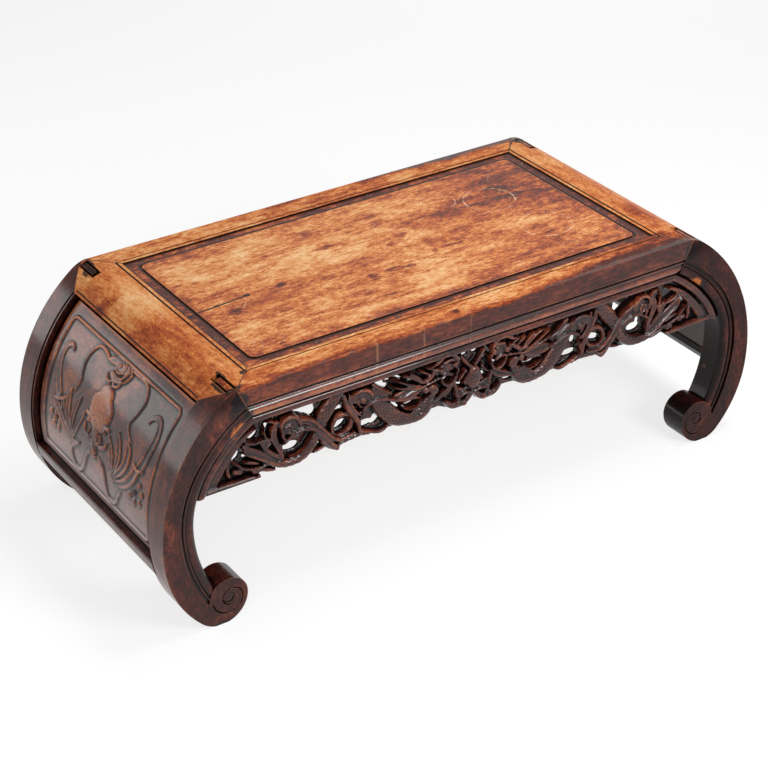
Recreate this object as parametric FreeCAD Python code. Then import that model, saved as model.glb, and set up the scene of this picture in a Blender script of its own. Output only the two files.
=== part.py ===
import FreeCAD
import Part
import math
import os

V = FreeCAD.Vector
ORIGIN = V(0, 0, 0)
ALONG_X = V(1, 0, 0)
ALONG_Y = V(0, 1, 0)
ALONG_Z = V(0, 0, 1)

# Overall size, in millimetres. X runs along the table, -Y is the front, the floor is z = 0.
TABLE_LENGTH = 891.0
TABLE_DEPTH = 397.0
TABLE_HEIGHT = 315.0

# Frame of the top. The long rails and the legs are equally thick, as they meet in mitres
FRAME_HEIGHT = 45.0
MEMBER_THICKNESS = 38.5
END_RAIL_TOP_WIDTH = 35.0
END_RAIL_DEPTH = 40.0
END_RAIL_ANGLE = 42.0
MITRE_ANGLE = 11.0
MITRE_LEAN = 21.0
FRAME_EDGE_RADIUS = 1.5
LIP_WIDTH = 5.0
LIP_GROOVE_WIDTH = 1.6
LIP_GROOVE_DEPTH = 1.0

# Outer outline of a leg: arcs that each turn further round, from the flat top to the scroll
SHOULDER_RADIUS = 41.0
SHOULDER_ANGLE = 36.6
FLANK_ANGLE = 96.5
CALF_RADIUS = 150.0
CALF_ANGLE = 135.3
TOE_RADIUS = 37.0
TOE_ANGLE = 270.0
SCROLL_RADIUS = 26.0
FOOT_FLAT_DEPTH = 1.0

# Inner outline of a leg
LEG_WIDTH = 44.5
THIGH_ANGLE = 53.0
SIDE_ANGLE = 90.0
SHIN_END_ANGLE = 135.0
SHIN_OVERRUN_ANGLE = 3.6

# How far the inner outline's widest place is above the outer one's, and the radii beside it,
# as shares of the flank's radius
inner_rise_share = 0.0754
knee_radius_share = 0.546
shin_radius_share = 0.825

# Moulding of the front faces, measured from the inner outline outwards
TORUS_WIDTH = 13.0
TORUS_RELIEF = 1.0
TORUS_EDGE_DEPTH = 7.5
BEAD_WIDTH = 4.0
BEAD_RELIEF = 0.8
GROOVE_WIDTH = 3.2
GROOVE_DEPTH = 3.0

# Scroll of the foot
BOSS_RADIUS = 7.0
BOSS_HEIGHT = 1.0
BOSS_MARGIN = 0.6
SPIRAL_START_ANGLE = 100.0
SPIRAL_STEP_ANGLE = 90.0
SPIRAL_GROOVE_WIDTH = 2.0
SPIRAL_GROOVE_DEPTH = 1.6
spiral_radius_shares = (0.86, 0.70, 0.56, 0.46, 0.39)

# Joints of the leg and of the rails at a corner
TENON_THICKNESS = 7.0
TENON_MARGIN = 6.5
TENON_SHORTFALL = 0.8
MORTISE_WIDTH = 13.0
MORTISE_OFFSET = 3.0
MORTISE_OVERREACH = 8.0
WEDGE_THICKNESS = 2.4
WEDGE_SINK = 5.0
WEDGE_LENGTH = 26.0
SHORT_TENON_THICKNESS = 8.0
SHORT_TENON_WIDTH = 11.0
SHORT_TENON_HEIGHT = 28.0
SHORT_TENON_OFFSET = 1.5
FRAME_TENON_WIDTH = 11.0
FRAME_TENON_HEIGHT = 12.0
FRAME_TENON_SINK = 16.0
FRAME_TENON_REACH = 20.0
JOINT_CLEARANCE = 0.3

# Floating panel of the top
PANEL_THICKNESS = 13.0
PANEL_GAP = 0.8
PANEL_SINK = 0.8
PANEL_MARGIN_WIDTH = 13.0
PANEL_MARGIN_DEPTH = 1.0
PANEL_GROOVE_WIDTH = 3.0
PANEL_GROOVE_DEPTH = 2.2
PANEL_CORNER_RADIUS = 9.0
TONGUE_LENGTH = 8.0
TONGUE_THICKNESS = 6.0
TONGUE_SINK = 6.5

# Battens under the top panel
BATTEN_WIDTH = 24.0
BATTEN_HEIGHT = 22.0
BATTEN_SPACING = 190.0
BATTEN_KEY_DEPTH = 4.0
BATTEN_KEY_FLARE = 2.0
BATTEN_TENON_LENGTH = 14.0
BATTEN_TENON_WIDTH = 12.0
BATTEN_TENON_HEIGHT = 14.0

# Curved panel of an end
END_PANEL_SINK = 9.0
END_PANEL_THICKNESS = 13.0
END_PANEL_GAP = 4.5
END_PANEL_TOP_GAP = 1.5
END_TONGUE_SINK = 15.0
END_TONGUE_THICKNESS = 5.0
END_TONGUE_LENGTH = 7.0
END_PANEL_BORDER = 16.0
END_PANEL_TOP_BORDER = 18.0
END_PANEL_LOW_BORDER = 11.0
END_BEAD_WIDTH = 3.6
END_BEAD_HEIGHT = 1.4
ARRIS_STEP_WIDTH = 4.0
ARRIS_STEP_DEPTH = 1.4
END_RAIL_BEAD_WIDTH = 3.0
END_RAIL_BEAD_DROP = 2.0

# Lower rail of an end
LOWER_RAIL_START_ANGLE = 97.5
LOWER_RAIL_END_ANGLE = 105.2
LOWER_RAIL_THICKNESS = 24.0
LOWER_RAIL_BEVEL = 9.0
LOWER_RAIL_GROOVE_WIDTH = 1.8
LOWER_RAIL_GROOVE_DEPTH = 1.2
LOWER_TENON_LENGTH = 22.0
LOWER_TENON_MARGIN = 5.0

# Carved apron
APRON_DROP = 91.0
APRON_SETBACK = 4.5
APRON_THICKNESS = 19.0
APRON_BEAD_WIDTH = 10.5
APRON_FIELD_SETBACK = 10.0
APRON_FIELD_THICKNESS = 9.0
APRON_FIT_GAP = 0.2
LEDGE_RISE = 4.0
LEDGE_HEIGHT = 5.5
LEDGE_LENGTH = 70.0
APRON_TONGUE_HEIGHT = 7.0
APRON_TONGUE_THICKNESS = 8.0
APRON_TONGUE_SHORTFALL = 20.0

# Carving of the apron. Places are shares of the apron's half length and of its drop below the rail
PEARL_RADIUS = 13.0
CLOUD_RADIUS = 11.0
PENDANT_RADIUS = 9.0
HEAD_RADIUS = 12.0
BODY_RADIUS = 8.5
STEM_RADIUS = 5.5
DOME_SINK = 0.5
pearl_shares = (0.0, 0.583)
pendant_shares = (0.052, 0.88)
head_shares = ((0.085, 0.34), (0.135, 0.42), (0.18, 0.56))
cloud_shares = ((0.41, 0.34), (0.70, 0.34), (0.86, 0.74))
body_shares = (
    ((0.168, 0.70), (0.253, 0.88), (0.315, 0.74), (0.395, 0.40)),
    ((0.560, 0.52), (0.664, 0.84), (0.738, 0.68), (0.790, 0.46)),
)
stem_shares = (
    ((0.195, 0.42), (0.250, 0.32), (0.305, 0.24)),
    ((0.471, 0.25), (0.440, 0.63), (0.426, 0.84)),
    ((0.480, 0.80), (0.540, 0.56), (0.620, 0.36), (0.690, 0.24)),
    ((0.735, 0.82), (0.800, 0.60), (0.840, 0.40)),
)

# Openings of the carving: the centre, then the half width and half height, then the slant
opening_shares = (
    ((0.050, 0.280), (0.018, 0.08), 0.0),
    ((0.139, 0.800), (0.022, 0.06), 0.1),
    ((0.328, 0.240), (0.024, 0.06), 0.1),
    ((0.245, 0.620), (0.024, 0.07), -0.2),
    ((0.400, 0.620), (0.014, 0.10), 0.1),
    ((0.450, 0.200), (0.016, 0.05), 0.1),
    ((0.490, 0.600), (0.014, 0.09), 0.1),
    ((0.560, 0.260), (0.028, 0.07), 0.1),
    ((0.640, 0.560), (0.022, 0.08), -0.2),
    ((0.765, 0.260), (0.026, 0.07), 0.2),
    ((0.870, 0.480), (0.018, 0.09), 0.1),
)

# Hollows of the apron's foot: the centre and half width, and the height
scallop_shares = ((0.0, 0.018, 0.10), (0.115, 0.020, 0.06), (0.335, 0.035, 0.08), (0.480, 0.022, 0.08))

# Bat in low relief on an end panel. Places are shares of the panel's half width and half length
BAT_RISE = 2.6
bat_shares = (
    ((0.0, 0.62), (0.13, 0.16), 0.0),
    ((0.0, 0.08), (0.17, 0.22), 0.0),
    ((0.0, -0.38), (0.11, 0.20), 0.0),
    ((0.46, 0.12), (0.17, 0.42), 0.08),
    ((0.74, 0.14), (0.09, 0.46), -0.06),
    ((0.42, -0.44), (0.24, 0.18), 0.10),
    ((0.30, -0.74), (0.20, 0.09), -0.08),
)

# Wooden pegs of the joints
PEG_RADIUS = 2.5
RAIL_PEG_LENGTH = 34.0
APRON_PEG_LENGTH = 18.0
APRON_PEG_SPACING = 230.0
peg_places = (-1, 0, 1)
batten_places = (-1, 0, 1)

# Room that a cutting shape has beyond what it cuts
OVERRUN = 4.0
HALF = 0.5
FULL_TURN = 360.0


class Arc:
    """A clockwise arc in the XZ plane. Its heading is 0 where it runs along +X."""

    def __init__(self, centre_x, centre_z, radius, start, end):
        self.centre_x = centre_x
        self.centre_z = centre_z
        self.radius = radius
        self.start = start
        self.end = end

    def at(self, heading, outward=0.0, y=0.0):
        turn = math.radians(heading)
        reach = self.radius + outward
        return V(self.centre_x + reach * math.sin(turn), y, self.centre_z + reach * math.cos(turn))

    def edge(self, start, end, outward=0.0, y=0.0):
        middle = (start + end) * HALF
        return Part.Arc(
            self.at(start, outward, y), self.at(middle, outward, y), self.at(end, outward, y)
        ).toShape()


def arc_from(point, radius, start, end):
    """The arc of that radius that starts at a point with a heading and turns to another."""
    turn = math.radians(start)
    return Arc(point.x - radius * math.sin(turn), point.z - radius * math.cos(turn), radius, start, end)


def arc_chain(point, steps):
    """Arcs that follow one another. Each step is a radius and the heading where the arc starts and ends."""
    arcs = []
    for radius, start, end in steps:
        arc = arc_from(point, radius, start, end)
        arcs.append(arc)
        point = arc.at(end)
    return arcs


def cosine(angle):
    return math.cos(math.radians(angle))


def sine(angle):
    return math.sin(math.radians(angle))


def clipped(arcs, start, end):
    """The arcs of a chain between two headings, each with the part that lies there."""
    for arc in arcs:
        low = max(arc.start, start)
        high = min(arc.end, end)
        if high > low:
            yield arc, low, high


def arc_on(arcs, heading):
    return next(arc for arc in arcs if arc.start <= heading <= arc.end)


def extruded(edges, y_from, y_to):
    """A prism along Y over a closed outline in the XZ plane."""
    face = Part.Face(Part.Wire(Part.__sortEdges__(edges)))
    face.translate(V(0, y_from, 0))
    return face.extrude(V(0, y_to - y_from, 0))


def line(a, b):
    return Part.LineSegment(a, b).toShape()


def strip(arcs, start, end, outer, inner, y_from, y_to):
    """A curved board along a chain, between two offsets from it."""
    edges = []
    for arc, low, high in clipped(arcs, start, end):
        edges.append(arc.edge(low, high, outer))
        edges.append(arc.edge(low, high, inner))
    first = arc_on(arcs, start)
    last = arc_on(arcs, end)
    edges.append(line(first.at(start, outer), first.at(start, inner)))
    edges.append(line(last.at(end, outer), last.at(end, inner)))
    return extruded(edges, y_from, y_to)


def box(x_from, x_to, y_from, y_to, z_from, z_to):
    return Part.makeBox(x_to - x_from, y_to - y_from, z_to - z_from, V(x_from, y_from, z_from))


def half_space(point, normal):
    """A block on the side of a plane that its normal points to, larger than the table."""
    size = (TABLE_LENGTH + TABLE_DEPTH + TABLE_HEIGHT) * HALF
    block = Part.makeBox(size, size, size, V(-size * HALF, -size * HALF, 0))
    block.Placement = FreeCAD.Placement(point, FreeCAD.Rotation(ALONG_Z, normal))
    return block


def plane_normal(a, b, c, towards):
    """The normal of the plane through three points that points to the side of a fourth."""
    normal = (b - a).cross(c - a)
    normal.normalize()
    if normal.dot(towards - a) < 0:
        normal = normal * -1
    return normal


def mirror_x(shape):
    return shape.mirror(ORIGIN, ALONG_X)


def mirror_y(shape):
    return shape.mirror(ORIGIN, ALONG_Y)


def fused(shapes):
    whole = shapes[0]
    for shape in shapes[1:]:
        whole = whole.fuse(shape)
    return whole.removeSplitter()


# Planes and corners that the pieces share, all on the right front corner
front_y = -TABLE_DEPTH * HALF
inner_y = front_y + MEMBER_THICKNESS
frame_bottom_z = TABLE_HEIGHT - FRAME_HEIGHT
half_length = TABLE_LENGTH * HALF

# The flank's radius is what is left of the height beside the other arcs
shoulder_drop = SHOULDER_RADIUS * (1 - cosine(SHOULDER_ANGLE))
calf_drop = CALF_RADIUS * (cosine(FLANK_ANGLE) - cosine(CALF_ANGLE))
toe_drop = TOE_RADIUS * (cosine(CALF_ANGLE) + 1)
flank_drop = TABLE_HEIGHT + FOOT_FLAT_DEPTH - shoulder_drop - calf_drop - toe_drop
flank_radius = flank_drop / (cosine(SHOULDER_ANGLE) - cosine(FLANK_ANGLE))
shoulder_reach = SHOULDER_RADIUS * sine(SHOULDER_ANGLE) + flank_radius * (1 - sine(SHOULDER_ANGLE))
shoulder_x = half_length - shoulder_reach

outer_arcs = arc_chain(
    V(shoulder_x, 0, TABLE_HEIGHT),
    (
        (SHOULDER_RADIUS, 0.0, SHOULDER_ANGLE),
        (flank_radius, SHOULDER_ANGLE, FLANK_ANGLE),
        (CALF_RADIUS, FLANK_ANGLE, CALF_ANGLE),
        (TOE_RADIUS, CALF_ANGLE, TOE_ANGLE),
        (SCROLL_RADIUS, TOE_ANGLE, TOE_ANGLE + FULL_TURN * HALF),
    ),
)
widest_z = arc_on(outer_arcs, SIDE_ANGLE).at(SIDE_ANGLE).z
scroll_arc = outer_arcs[-1]
scroll_centre = V(scroll_arc.centre_x, 0, scroll_arc.centre_z)

# The corner of the frame, where the long rail, the end rail and the leg meet
corner = outer_arcs[0].at(MITRE_ANGLE, 0.0, front_y)
mitre_low = V(corner.x - MITRE_LEAN, front_y, frame_bottom_z)
corner_inside = V(mitre_low.x, inner_y, frame_bottom_z)
end_rail_inner_x = corner.x - END_RAIL_TOP_WIDTH
top_inner_corner = V(end_rail_inner_x, inner_y, TABLE_HEIGHT)
end_rail_foot = arc_on(outer_arcs, END_RAIL_ANGLE).at(END_RAIL_ANGLE, 0.0, inner_y)


def inner_outline():
    """Arcs of a leg's inner outline: thigh, knee and shin, with the thigh tangent to the knee."""
    widest = V(half_length - LEG_WIDTH, 0, widest_z + inner_rise_share * flank_radius)
    knee_radius = knee_radius_share * flank_radius
    shin_radius = shin_radius_share * flank_radius
    knee = Arc(widest.x - knee_radius, widest.z, knee_radius, THIGH_ANGLE, SIDE_ANGLE)
    shin = Arc(widest.x - shin_radius, widest.z, shin_radius, SIDE_ANGLE, SHIN_END_ANGLE)
    joint = knee.at(THIGH_ANGLE)
    outward = V(sine(THIGH_ANGLE), 0, cosine(THIGH_ANGLE))
    to_mitre = V(mitre_low.x, 0, mitre_low.z) - joint
    radius = -to_mitre.dot(to_mitre) / (to_mitre.dot(outward) + to_mitre.dot(outward))
    centre = joint - outward * radius
    start = math.degrees(math.atan2(mitre_low.x - centre.x, mitre_low.z - centre.z))
    thigh = Arc(centre.x, centre.z, radius, start, THIGH_ANGLE)
    return [thigh, knee, shin]


inner_arcs = inner_outline()
leg_groove_y = -inner_y + END_TONGUE_LENGTH + JOINT_CLEARANCE


def scroll_junction():
    """The headings, on the shin and on the scroll, of the point where the two circles cross."""
    shin = inner_arcs[-1]
    gap_x = scroll_arc.centre_x - shin.centre_x
    gap_z = scroll_arc.centre_z - shin.centre_z
    gap = math.hypot(gap_x, gap_z)
    along = (shin.radius**2 - SCROLL_RADIUS**2 + gap**2) / (gap + gap)
    aside = math.sqrt(shin.radius**2 - along**2)
    x = shin.centre_x + (along * gap_x - aside * gap_z) / gap
    z = shin.centre_z + (along * gap_z + aside * gap_x) / gap
    on_shin = math.degrees(math.atan2(x - shin.centre_x, z - shin.centre_z)) % FULL_TURN
    on_scroll = math.degrees(math.atan2(x - scroll_arc.centre_x, z - scroll_arc.centre_z)) % FULL_TURN
    return on_shin, on_scroll + FULL_TURN


def moulding_outline(outwards, offset_y):
    """The edges of what the front moulding removes, in a plane that outwards(w, y) maps to space."""
    bead_start = TORUS_WIDTH
    bead_end = bead_start + BEAD_WIDTH
    groove_end = bead_end + GROOVE_WIDTH

    def at(w, depth):
        return outwards(w, front_y + depth)

    torus = Part.Arc(
        at(0.0, TORUS_EDGE_DEPTH),
        at(TORUS_WIDTH * HALF, TORUS_RELIEF),
        at(bead_start, GROOVE_DEPTH),
    ).toShape()
    bead = Part.Arc(
        at(bead_start, GROOVE_DEPTH),
        at((bead_start + bead_end) * HALF, BEAD_RELIEF),
        at(bead_end, GROOVE_DEPTH),
    ).toShape()
    straight = (
        at(bead_end, GROOVE_DEPTH),
        at(groove_end, GROOVE_DEPTH),
        at(groove_end, -offset_y),
        at(-offset_y, -offset_y),
        at(-offset_y, TORUS_EDGE_DEPTH),
        at(0.0, TORUS_EDGE_DEPTH),
    )
    edges = [torus, bead]
    edges.extend(line(a, b) for a, b in zip(straight, straight[1:]))
    return Part.Face(Part.Wire(Part.__sortEdges__(edges)))


def turned(face, arc, angle):
    """A face revolved clockwise, as the headings turn, about an arc's centre."""
    return face.revolve(V(arc.centre_x, 0, arc.centre_z), ALONG_Y, angle)


def leg_moulding_cut():
    """What the moulding removes, down to a little way inside the scroll."""
    on_shin, _ = scroll_junction()
    cuts = []
    for arc, low, high in clipped(inner_arcs, inner_arcs[0].start, on_shin + SHIN_OVERRUN_ANGLE):
        face = moulding_outline(lambda w, y, arc=arc: arc.at(arc.start, w, y), OVERRUN)
        cuts.append(turned(face, arc, high - low))
    return cuts


def rail_moulding_cut():
    face = moulding_outline(lambda w, y: V(-half_length, y, frame_bottom_z + w), OVERRUN)
    return face.extrude(V(TABLE_LENGTH, 0, 0))


def spiral_cuts():
    """The groove that winds in round the boss, as quarter turns of falling radius."""
    radii = [share * SCROLL_RADIUS for share in spiral_radius_shares]
    start_arc = Arc(scroll_centre.x, scroll_centre.z, radii[0], SPIRAL_START_ANGLE, FULL_TURN)
    point = start_arc.at(SPIRAL_START_ANGLE)
    heading = SPIRAL_START_ANGLE
    cuts = []
    for radius in radii:
        arc = arc_from(point, radius, heading, heading + SPIRAL_STEP_ANGLE)
        corners = [
            arc.at(heading, -SPIRAL_GROOVE_WIDTH * HALF, front_y - OVERRUN),
            arc.at(heading, SPIRAL_GROOVE_WIDTH * HALF, front_y - OVERRUN),
            arc.at(heading, SPIRAL_GROOVE_WIDTH * HALF, front_y),
            arc.at(heading, 0.0, front_y + SPIRAL_GROOVE_DEPTH),
            arc.at(heading, -SPIRAL_GROOVE_WIDTH * HALF, front_y),
        ]
        face = Part.Face(Part.makePolygon(corners + corners[:1]))
        cuts.append(turned(face, arc, SPIRAL_STEP_ANGLE))
        heading += SPIRAL_STEP_ANGLE
        point = arc.at(heading)
    return cuts


def boss():
    """A low dome at the eye of the scroll, no prouder than the front face."""
    sphere_radius = (BOSS_RADIUS**2 + BOSS_HEIGHT**2) / (BOSS_HEIGHT + BOSS_HEIGHT)
    top = V(scroll_centre.x, front_y, scroll_centre.z)
    ball = Part.makeSphere(sphere_radius, top + V(0, sphere_radius, 0))
    return ball.common(Part.makeCylinder(BOSS_RADIUS, BOSS_HEIGHT + OVERRUN, top, ALONG_Y))


def boss_ring():
    """The sunk disc that the dome stands in."""
    return Part.makeCylinder(
        BOSS_RADIUS + BOSS_MARGIN,
        BOSS_HEIGHT + OVERRUN,
        V(scroll_centre.x, front_y - OVERRUN, scroll_centre.z),
        ALONG_Y,
    )


leg_side = corner + V(END_RAIL_TOP_WIDTH, 0, -TABLE_HEIGHT * HALF)
end_side = V(corner.x, 0, TABLE_HEIGHT)
top_mitre_normal = plane_normal(corner, top_inner_corner, corner_inside, end_side)
leg_mitre_normal = plane_normal(corner, mitre_low, corner_inside, leg_side)
end_mitre_normal = plane_normal(corner, end_rail_foot, corner_inside, end_side)


def mortise_x():
    """Where the through mortise starts, seen from the table's middle."""
    return corner.x - MORTISE_OFFSET


def long_tenon():
    """The leg's tenon that passes up through the end rail and shows on its top."""
    low_x = mortise_x() + (MORTISE_WIDTH - TENON_THICKNESS) * HALF
    tenon = box(
        low_x,
        low_x + TENON_THICKNESS,
        front_y + TENON_MARGIN,
        inner_y,
        frame_bottom_z,
        TABLE_HEIGHT,
    )
    return tenon.common(end_envelope(TENON_SHORTFALL))


def through_mortise():
    """The slot in the end rail, wider and longer than the tenon in it."""
    return box(
        mortise_x(),
        mortise_x() + MORTISE_WIDTH,
        front_y + TENON_MARGIN - JOINT_CLEARANCE,
        inner_y + MORTISE_OVERREACH,
        frame_bottom_z - END_RAIL_DEPTH,
        TABLE_HEIGHT + OVERRUN,
    )


def tenon_wedge():
    """The wedge that fills the slot on the outer side of the tenon, sunk below the rail's top."""
    low_x = mortise_x() + (MORTISE_WIDTH + TENON_THICKNESS) * HALF
    top_z = TABLE_HEIGHT - WEDGE_SINK
    wedge = box(
        low_x,
        low_x + WEDGE_THICKNESS,
        front_y + TENON_MARGIN + JOINT_CLEARANCE,
        inner_y,
        top_z - WEDGE_LENGTH,
        top_z,
    )
    return wedge.common(end_envelope(WEDGE_SINK)).common(half_space(corner, end_mitre_normal))


def short_tenon(clearance):
    """The leg's tenon that stands in the long rail and stops short of its top."""
    low_x = mitre_low.x + SHORT_TENON_OFFSET
    low_y = front_y + TORUS_EDGE_DEPTH
    return box(
        low_x - clearance,
        low_x + SHORT_TENON_THICKNESS + clearance,
        low_y - clearance,
        low_y + SHORT_TENON_WIDTH + clearance,
        frame_bottom_z,
        frame_bottom_z + SHORT_TENON_HEIGHT + clearance,
    )


def frame_tenon(clearance):
    """The long rail's tenon in the end rail, below the panel's groove."""
    high_y = inner_y - TONGUE_LENGTH * HALF
    top_z = TABLE_HEIGHT - FRAME_TENON_SINK
    return box(
        end_rail_inner_x,
        end_rail_inner_x + FRAME_TENON_REACH + clearance,
        high_y - FRAME_TENON_WIDTH - clearance,
        high_y + clearance,
        top_z - FRAME_TENON_HEIGHT - clearance,
        top_z + clearance,
    )


def leg_profile():
    """The side outline of a leg, with the scroll, as a prism of the leg's thickness."""
    on_shin, on_scroll = scroll_junction()
    edges = []
    for arc, low, high in clipped(outer_arcs, 0.0, on_scroll):
        edges.append(arc.edge(low, high))
    for arc, low, high in clipped(inner_arcs, inner_arcs[0].start, on_shin):
        edges.append(arc.edge(low, high))
    first = inner_arcs[0]
    edges.append(line(first.at(first.start), outer_arcs[0].at(0.0)))
    return extruded(edges, front_y, inner_y)


def end_envelope(inset):
    """All that lies under the outer outline, sunk by an inset."""
    edges = [arc.edge(low, high, -inset) for arc, low, high in clipped(outer_arcs, 0.0, SIDE_ANGLE)]
    top = outer_arcs[0].at(0.0, -inset)
    side = arc_on(outer_arcs, SIDE_ANGLE).at(SIDE_ANGLE, -inset)
    low = V(0, 0, side.z)
    high = V(0, 0, top.z)
    edges.extend((line(side, low), line(low, high), line(high, top)))
    return extruded(edges, front_y, -front_y)


def tongue_angle(extra):
    """How far the flank's outline turns along a tongue's length."""
    return math.degrees((END_TONGUE_LENGTH + extra) / flank_radius)


def end_groove(half_width):
    """The groove round an end for the end panel's tongue, as one curved board."""
    return strip(
        outer_arcs,
        END_RAIL_ANGLE - tongue_angle(JOINT_CLEARANCE),
        LOWER_RAIL_START_ANGLE + tongue_angle(JOINT_CLEARANCE),
        -END_TONGUE_SINK + JOINT_CLEARANCE,
        -END_TONGUE_SINK - END_TONGUE_THICKNESS - JOINT_CLEARANCE,
        -half_width,
        half_width,
    )


def arris_step():
    """The stepped arris of the leg beside the end panel."""
    return strip(
        outer_arcs,
        END_RAIL_ANGLE,
        LOWER_RAIL_END_ANGLE,
        OVERRUN,
        -ARRIS_STEP_DEPTH,
        inner_y - ARRIS_STEP_WIDTH,
        inner_y + OVERRUN,
    )


def lower_tenon(clearance):
    """The lower rail's tenon in the leg."""
    return strip(
        outer_arcs,
        LOWER_RAIL_START_ANGLE + tongue_angle(JOINT_CLEARANCE),
        LOWER_RAIL_END_ANGLE,
        -LOWER_TENON_MARGIN + clearance,
        -LOWER_RAIL_THICKNESS + LOWER_TENON_MARGIN - clearance,
        inner_y - LOWER_TENON_LENGTH - clearance,
        inner_y,
    )


def rail_peg():
    """The peg that runs from the leg's inner face outwards through the lower rail's tenon."""
    heading = (LOWER_RAIL_START_ANGLE + LOWER_RAIL_END_ANGLE) * HALF
    arc = arc_on(outer_arcs, heading)
    start = arc.at(heading, -LEG_WIDTH - LEG_WIDTH, inner_y - LOWER_TENON_LENGTH * HALF)
    outward = V(sine(heading), 0, cosine(heading))
    peg = Part.makeCylinder(PEG_RADIUS, LEG_WIDTH + RAIL_PEG_LENGTH, start, outward)
    return peg.common(leg_profile())


def front_right_leg():
    body = leg_profile()
    body = body.cut(half_space(corner, leg_mitre_normal * -1))
    body = body.cut(half_space(corner, end_mitre_normal))
    body = fused([body, long_tenon(), short_tenon(0.0)])
    for cut in leg_moulding_cut():
        body = body.cut(cut)
    disc_centre = V(scroll_centre.x, front_y, scroll_centre.z)
    disc = Part.makeCylinder(SCROLL_RADIUS, MEMBER_THICKNESS, disc_centre, ALONG_Y)
    body = fused([body, disc])
    for cut in spiral_cuts():
        body = body.cut(cut)
    body = fused([body.cut(boss_ring()), boss()])
    body = body.cut(arris_step())
    body = body.cut(end_groove(leg_groove_y))
    body = body.cut(lower_tenon(JOINT_CLEARANCE))
    body = body.cut(rail_peg())
    floor = box(0, TABLE_LENGTH, front_y - OVERRUN, inner_y + OVERRUN, -OVERRUN, 0)
    return body.cut(floor)


def panel_groove():
    """The groove round the frame's inside that holds the top panel's tongue."""
    reach = TONGUE_LENGTH + JOINT_CLEARANCE
    low_z = TABLE_HEIGHT - TONGUE_SINK - TONGUE_THICKNESS - JOINT_CLEARANCE
    high_z = TABLE_HEIGHT - TONGUE_SINK + JOINT_CLEARANCE
    return box(
        -end_rail_inner_x - reach,
        end_rail_inner_x + reach,
        inner_y - reach,
        -inner_y + reach,
        low_z,
        high_z,
    )


def lip_groove():
    """A fine line cut round the frame's top, a lip's width from its inner edge."""
    low_z = TABLE_HEIGHT - LIP_GROOVE_DEPTH
    high_z = TABLE_HEIGHT + OVERRUN
    island_x = end_rail_inner_x + LIP_WIDTH
    island_y = -inner_y + LIP_WIDTH
    outer_x = island_x + LIP_GROOVE_WIDTH
    outer_y = island_y + LIP_GROOVE_WIDTH
    whole = box(-outer_x, outer_x, -outer_y, outer_y, low_z, high_z)
    island = box(-island_x, island_x, -island_y, island_y, low_z, high_z)
    return whole.cut(island)


def batten_bar(x, clearance):
    """A batten's two tenons as one bar that runs from rail to rail."""
    low_z = TABLE_HEIGHT - PANEL_SINK - PANEL_THICKNESS - BATTEN_HEIGHT
    reach = -inner_y + BATTEN_TENON_LENGTH + clearance
    half_width = BATTEN_TENON_WIDTH * HALF + clearance
    return box(
        x - half_width,
        x + half_width,
        -reach,
        reach,
        low_z - clearance,
        low_z + BATTEN_TENON_HEIGHT + clearance,
    )


def batten_key(x, clearance):
    """A batten's dovetail key, wider at its top, that slides in a groove of the panel."""
    low_z = TABLE_HEIGHT - PANEL_SINK - PANEL_THICKNESS
    high_z = low_z + BATTEN_KEY_DEPTH + clearance
    half_low = BATTEN_TENON_WIDTH * HALF + clearance
    half_high = half_low + BATTEN_KEY_FLARE
    corners = [
        V(x - half_low, 0, low_z),
        V(x + half_low, 0, low_z),
        V(x + half_high, 0, high_z),
        V(x - half_high, 0, high_z),
    ]
    key = Part.Face(Part.makePolygon(corners + corners[:1]))
    reach = -inner_y - PANEL_GAP
    key.translate(V(0, -reach, 0))
    return key.extrude(V(0, reach + reach, 0))


def batten(x):
    top_z = TABLE_HEIGHT - PANEL_SINK - PANEL_THICKNESS
    half_width = BATTEN_WIDTH * HALF
    reach = -inner_y
    bar = box(x - half_width, x + half_width, -reach, reach, top_z - BATTEN_HEIGHT, top_z)
    return fused([bar, batten_bar(x, 0.0), batten_key(x, 0.0)])


def apron_tongue(clearance):
    """The tongue along an apron's top, in the groove under the long rail."""
    low_y = front_y + APRON_SETBACK + APRON_THICKNESS - APRON_TONGUE_THICKNESS
    reach = mitre_low.x - APRON_TONGUE_SHORTFALL
    return box(
        -reach - clearance,
        reach + clearance,
        low_y - clearance,
        low_y + APRON_TONGUE_THICKNESS + clearance,
        frame_bottom_z - APRON_FIT_GAP,
        frame_bottom_z + APRON_TONGUE_HEIGHT + clearance,
    )


def apron_peg(index):
    """A peg from the rail's inner side through the apron's tongue."""
    z = frame_bottom_z + APRON_TONGUE_HEIGHT * HALF
    start = V(index * APRON_PEG_SPACING, inner_y - APRON_PEG_LENGTH - JOINT_CLEARANCE, z)
    return Part.makeCylinder(PEG_RADIUS, APRON_PEG_LENGTH + JOINT_CLEARANCE, start, ALONG_Y)


def front_long_rail():
    body = box(-half_length, half_length, front_y, inner_y, frame_bottom_z, TABLE_HEIGHT)
    long_edges = [edge for edge in body.Edges if edge.BoundBox.XLength > TABLE_LENGTH * HALF]
    top_front_edge = min(long_edges, key=lambda edge: edge.CenterOfMass.y - edge.CenterOfMass.z)
    body = body.makeFillet(FRAME_EDGE_RADIUS, [top_front_edge])
    beyond = half_space(corner, top_mitre_normal).fuse(half_space(corner, leg_mitre_normal))
    body = body.cut(beyond).cut(mirror_x(beyond))
    tenon = frame_tenon(0.0).common(half_space(corner, top_mitre_normal))
    body = fused([body, tenon, mirror_x(tenon)])
    body = body.cut(rail_moulding_cut())
    body = body.cut(panel_groove()).cut(lip_groove())
    mortise = short_tenon(JOINT_CLEARANCE)
    body = body.cut(mortise).cut(mirror_x(mortise))
    body = body.cut(apron_tongue(JOINT_CLEARANCE))
    for place in batten_places:
        body = body.cut(batten_bar(place * BATTEN_SPACING, JOINT_CLEARANCE))
    for place in peg_places:
        body = body.cut(apron_peg(place))
    return body


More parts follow.
